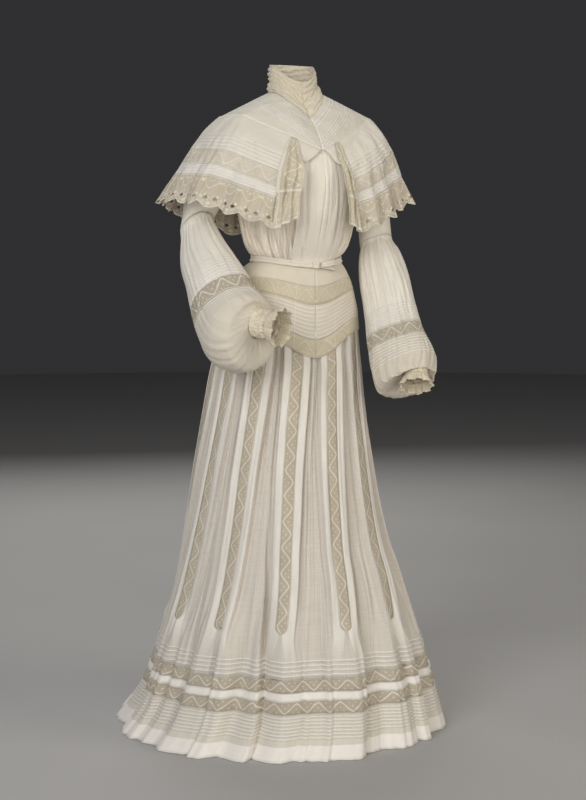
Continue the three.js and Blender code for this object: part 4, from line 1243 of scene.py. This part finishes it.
# How far each fold of a cascade stands out, and the turns of its inner and outer edges down its length.
CASCADE_FOLDS = [1, 9, 1, 10, 3, 8]
CASCADE_EDGES = {
    -1: table("share inner outer", (0, 19.4, 20.8), (0.3, 15.3, 28), (0.6, 16.3, 27.5), (1, 15.5, 24.5)),
    1: table("share inner outer", (0, 9.6, 14.6), (0.3, 8.6, 15.4), (0.6, 9, 16), (1, 9.5, 18)),
}
for side, name in SIDES:
    def cascade_point(fold, share, side=side):
        share = share * (1 - 0.03 * fold)
        edges = CASCADE_EDGES[side](share)
        turn = mix(edges.outer, edges.inner, fold / 5) + 0.8 * wave(share * 5, fold * 0.4, side) * share
        x, y, z = cape_point(math.radians(turn) * side, share)
        k = int(clamp(math.floor(fold), 0, 4))
        stand = mix(CASCADE_FOLDS[k], CASCADE_FOLDS[k + 1], ease(fold - k))
        stand += 2 * wave(share * 7, fold * 0.8, 4 + side)
        return x, y - 2 - max(0, stand) * ease(share / 0.45), z

    def cascade_cut(fold, share):
        return fold, share

    grid = in_turn(side, steps(5, 0, 60)), steps(1, 0.03, 60)
    cloth(f"cascade_{name}", *grid, cascade_point, cascade_cut, CASCADE, "muslin_white", held="folded")

# Sleeves.

# Rings of the upper sleeves: where their outer and inner edges are, how far back, and half their depth.
UPPER_SLEEVES = {
    -1: table(
        "ring out_x out_z in_x in_z y deep",
        (1, 196, 1268, 154, 1186, 4, 62),
        (2, 226, 1206, 165, 1150, 14, 50),
        (3, 245, 1145, 175, 1115, 25, 42),
    ),
    1: table(
        "ring out_x out_z in_x in_z y deep",
        (1, 189, 1266, 154, 1186, 2, 62),
        (2, 211, 1206, 158, 1148, 4, 50),
        (3, 222, 1125, 157, 1105, 0, 40),
    ),
}
# Rings of the lower sleeves from the elbow to the cuff. Along is the arm's direction, which turns towards
# the cuff's from the ring turns_from on; sag is how far the cloth hangs, and gather how deep its gathers
# are.
LOWER_SLEEVES = {
    -1: SimpleNamespace(
        along=Vector((0.16, -0.7, -0.69)), turns_from=3, last=6,
        rings=table(
            "ring x y z radius sag gather",
            (0, -219, 32.5, 1083, 38, 0, 1.5),
            (1, -221, -5, 1020, 57, 0, 1.5),
            (2, -214, -43, 972, 67, 0, 1),
            (3, -202, -82, 906, 79, 4, 0),
            (4, -194, -114, 870, 88, 12, 1),
            (5, -184, -139, 861, 76, 22, 3),
            (5.6, -178, -147, 868, 58, 16, 2),
            (6, -168, -156, 885, 32, 0, 1.5),
        ),
    ),
    1: SimpleNamespace(
        along=Vector((0.1, -0.38, -0.92)), turns_from=4, last=7,
        rings=table(
            "ring x y z radius sag gather",
            (0, 192, -8, 1047, 36, 0, 1.5),
            (1, 193, -20, 1013, 47, 0, 1.5),
            (2, 194, -43, 957, 57, 0, 1),
            (3, 195, -66, 899, 60, 0, 0),
            (4, 196, -88, 841, 66, 4, 1),
            (5, 205, -110, 788, 74, 14, 3),
            (5.6, 207, -122, 757, 67, 18, 2),
            (6, 210, -138, 756, 54, 14, 1),
            (7, 212, -148, 778, 29, 0, 1.5),
        ),
    ),
}
CUFFS = {
    -1: SimpleNamespace(
        start=Vector((-168, -156, 885)), along=Vector((0.5, -0.83, -0.14)).normalized(),
        length=34, frill=26, radius=31,
    ),
    1: SimpleNamespace(
        start=Vector((212, -148, 778)), along=Vector((-0.25, -0.5, -0.83)).normalized(),
        length=24, frill=22, radius=27,
    ),
}


def armhole_point(side, turn):
    """The sleeve's seam on the bodice, from the top of the shoulder, turn 0, through the front and the
    underarm."""
    around = math.cos(turn)
    height = mix(1186, 1306, clamp((around + 1) / 2 + 0.12 * (1 - around**2)))
    rest = clamp((around - 0.55) / 0.45)
    angle = mix(armhole_angle(height), 90, rest)
    facing = angle if math.sin(turn) > 0 else 180 - angle
    return torso_point(side * math.radians(facing), height, 0.8)


def upper_sleeve_point(side, turn, ring):
    row = UPPER_SLEEVES[side](max(ring, 1))
    across = (math.cos(turn) + 1) / 2
    x, z = mix(row.in_x, row.out_x, across), mix(row.in_z, row.out_z, across)
    point = Vector((side * x, row.y - row.deep * math.sin(turn), z))
    return armhole_point(side, turn).lerp(point, ring) if ring < 1 else point


def ring_point(side, middle, along, radius, turn, sag=0.0):
    outwards = along.cross(Vector((0, 0, -side))).normalized()
    forwards = along.cross(outwards) * side
    point = middle + outwards * radius * math.cos(turn) + forwards * radius * math.sin(turn)
    return point + along * sag * (0.6 - 0.5 * math.cos(turn) - 0.6 * math.sin(turn))


def cuff_point(side, turn, distance, wider=0.0):
    cuff = CUFFS[side]
    return ring_point(side, cuff.start + cuff.along * distance, cuff.along, cuff.radius + wider, turn)


def sleeve_folds(turn, ring, side, deep):
    """Fine gathers round the sleeve, deepest where it is drawn in, and broad soft creases along it."""
    x, y = math.cos(turn), math.sin(turn)
    fine = math.sin(turn * 26 + 3 * wave(x * 2, y * 2, ring * 0.7 + side))
    long = wave(x * 4.5, y * 4.5, ring * 0.4 + side * 5)
    soft = wave(x * 9, y * 9, ring * 0.5 + side * 3)
    near_end = max(ease((ring - LOWER_SLEEVES[side].last + 0.9) / 0.8), ease((0.9 - ring) / 0.9))
    gathered = deep * (fine - 1) * 0.8 * near_end
    loose = 0.38 if side < 0 else 1
    crease = creases(x * 6, y * 6, ring * 0.3 + side, 0.22) * 4.2 * loose
    return (gathered + 3.0 * long * loose + 1.4 * soft - 3.0 - crease) * ease(ring / 0.3)


def lower_sleeve_point(side, turn, ring, folded=True):
    sleeve = LOWER_SLEEVES[side]
    row = sleeve.rings(ring)
    radius = row.radius + (sleeve_folds(turn, ring, side, max(row.gather, 0.3)) if folded else 0)
    turned = clamp((ring - sleeve.turns_from) / (sleeve.last - sleeve.turns_from))
    direction = sleeve.along.normalized().lerp(CUFFS[side].along, turned).normalized()
    return ring_point(side, Vector((row.x, row.y, row.z)), direction, radius, turn, row.sag)


# Bands of the lower sleeves: name, ring of the lower and upper edge by side, rows of cells, finish, slot
# and cut, which has the turn and how many rings down from the upper edge, and up from the lower edge, a
# place is.
SLEEVE_BANDS = [
    (
        "lower_sleeve", {-1: (2.55, 0), 1: (3.75, 0)}, 34, SLEEVE_TUCKS, "muslin",
        lambda turn, down, up: (turn, up * 0.066),
    ),
    (
        "sleeve_lace", {-1: (3, 2.55), 1: (4.2, 3.75)}, 6, SLEEVE_LACE, "lace",
        lambda turn, down, up: (turn / TURN * 9, up / 0.45),
    ),
    (
        "sleeve_puff", {-1: (6, 3), 1: (7, 4.2)}, 34, PUFF, "muslin",
        lambda turn, down, up: (turn, down * 0.05),
    ),
]
for side, name in SIDES:
    turns = [-side * t for t in steps(0, TURN, 144)]
    axis = LOWER_SLEEVES[side].along.normalized()

    def upper_point(turn, ring, side=side, axis=axis):
        point = upper_sleeve_point(side, turn, min(ring, 3))
        if ring > 3:
            point = point.lerp(lower_sleeve_point(side, turn, 0, folded=False) - axis * 0.1, ring - 3)
        pucker = 1.2 * wave(math.cos(turn) * 3, math.sin(turn) * 3, ring * 1.2 + side)
        return point - Vector((side, 0, 0)) * (1.2 - pucker) * math.sin(math.pi * ring / 4)

    grid = turns, steps(4, 0, 24)
    cloth(f"upper_sleeve_{name}", *grid, upper_point, lambda t, r: (t, r), SLEEVE, "muslin", closed=True)
    for band, ends, rows, finish, slot, spread in SLEEVE_BANDS:
        low, high = ends[side]

        def band_point(turn, ring, side=side, axis=axis, low=low, high=high):
            if ring == LOWER_SLEEVES[side].last:
                return cuff_point(side, turn, -0.5, 0.9 + 0.5 * math.sin(turn * 20))
            return lower_sleeve_point(side, turn, ring) + axis * (SEAM if ring == high else 0)

        def band_cut(turn, ring, low=low, high=high, spread=spread):
            return spread(turn, ring - high, low - ring)

        grid = turns, steps(low, high, rows)
        cloth(f"{band}_{name}", *grid, band_point, band_cut, finish, slot, closed=True)

    cuff = CUFFS[side]

    def crushed_point(turn, distance, side=side):
        x, y = math.cos(turn) * 3, math.sin(turn) * 3
        crush = -1.4 + 0.5 * math.sin(turn * 24) + 2.4 * wave(x, y, distance * 0.16 + side)
        return cuff_point(side, turn, distance, mix(0.3, crush, ease(distance / 7)))

    def cuff_cut(turn, distance, cuff=cuff):
        return turn / TURN * 8, distance / cuff.length

    def frill_point(turn, share, side=side, cuff=cuff):
        ripple = 3.5 * math.sin(turn * 9 + side) + 1.5 * math.sin(turn * 21)
        distance = mix(cuff.length + SEAM, cuff.length + cuff.frill, share)
        return cuff_point(side, turn, distance, (8 + ripple) * share - 0.3)

    def frill_cut(turn, share):
        return turn / TURN * 10, 1 - share

    grid = turns, steps(cuff.length, -1.2, 14)
    cloth(f"cuff_{name}", *grid, crushed_point, cuff_cut, CUFF_LACE, "lace", closed=True)
    cloth(f"cuff_frill_{name}", turns, steps(1, 0, 8), frill_point, frill_cut, CUFF_LACE, "lace", closed=True)

# Floor, light and camera.

floor_mesh = bpy.data.meshes.new("floor")
bm = bmesh.new()
bmesh.ops.create_circle(bm, cap_ends=True, segments=160, radius=9.0)
for v in bm.verts:
    v.co.z = -SHOULDER * MM - 0.001
bm.to_mesh(floor_mesh)
bm.free()
floor = bpy.data.objects.new("floor", floor_mesh)
bpy.context.scene.collection.objects.link(floor)
floor_finish = Finish("pale floor", roughness=0.7, sheen=0.0)
floor_tint = floor_finish.uneven(floor_finish.place, 1.5)
floor_colour = shaded(floor_finish, paint(176, 174, 172), (floor_tint, 0.02))
floor_mesh.materials.append(floor_finish.finished(floor_colour))
floor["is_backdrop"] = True

world = bpy.data.worlds.new("studio")
world.use_nodes = True
backdrop = world.node_tree.nodes["Background"].inputs
backdrop["Color"].default_value = (0.029, 0.029, 0.031, 1)
backdrop["Strength"].default_value = 1.0
bpy.context.scene.world = world
bpy.context.scene.view_settings.view_transform = "Standard"


def softbox(name, place, aimed_at, size, power, colour):
    light = bpy.data.lights.new(name, "AREA")
    light.shape = "RECTANGLE"
    light.size, light.size_y = size
    light.energy = power
    light.color = colour
    lamp = bpy.data.objects.new(name, light)
    lamp.location = place
    lamp.rotation_mode = "QUATERNION"
    lamp.rotation_quaternion = (Vector((0, 0, aimed_at)) - Vector(place)).to_track_quat("-Z", "Y")
    bpy.context.scene.collection.objects.link(lamp)


# Soft lights: name, place, height aimed at, size, power and colour. Lengths are metres from the origin.
LIGHTS = [
    ("left key", (-3.4, -2.6, 1.3), -0.5, (2.2, 3.0), 122, (0.975, 0.98, 1.0)),
    ("right fill", (2.6, -3.2, 0.8), -0.5, (2.4, 3.0), 65, (1.0, 0.945, 0.85)),
    ("front fill", (-1.0, -4.3, -0.1), -0.6, (2.0, 2.0), 40, (1.0, 0.985, 0.955)),
    ("top", (0.2, 0.4, 3.0), -0.6, (2.5, 2.5), 20, (1.0, 1.0, 1.0)),
    ("back", (1.0, 3.4, 1.2), -0.5, (3.0, 2.5), 56, (1.0, 0.99, 0.97)),
]
for sizes in LIGHTS:
    softbox(*sizes)

# The camera stands a little to the wearer's right, and looks level along HEADING but for its tilt down.
CAMERA_PLACE = (-1.9099, -3.7349, -0.1877)
HEADING = (0.454, 0.891)
TILT = math.radians(5.7026)
camera_data = bpy.data.cameras.new("camera")
camera_data.lens = 87.576
camera_data.sensor_width = 36
camera = bpy.data.objects.new("camera", camera_data)
camera.location = CAMERA_PLACE
look = Vector((*(part * math.cos(TILT) for part in HEADING), -math.sin(TILT)))
camera.rotation_mode = "QUATERNION"
camera.rotation_quaternion = look.to_track_quat("-Z", "Y")
bpy.context.scene.collection.objects.link(camera)
bpy.context.scene.camera = camera

low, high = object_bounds()
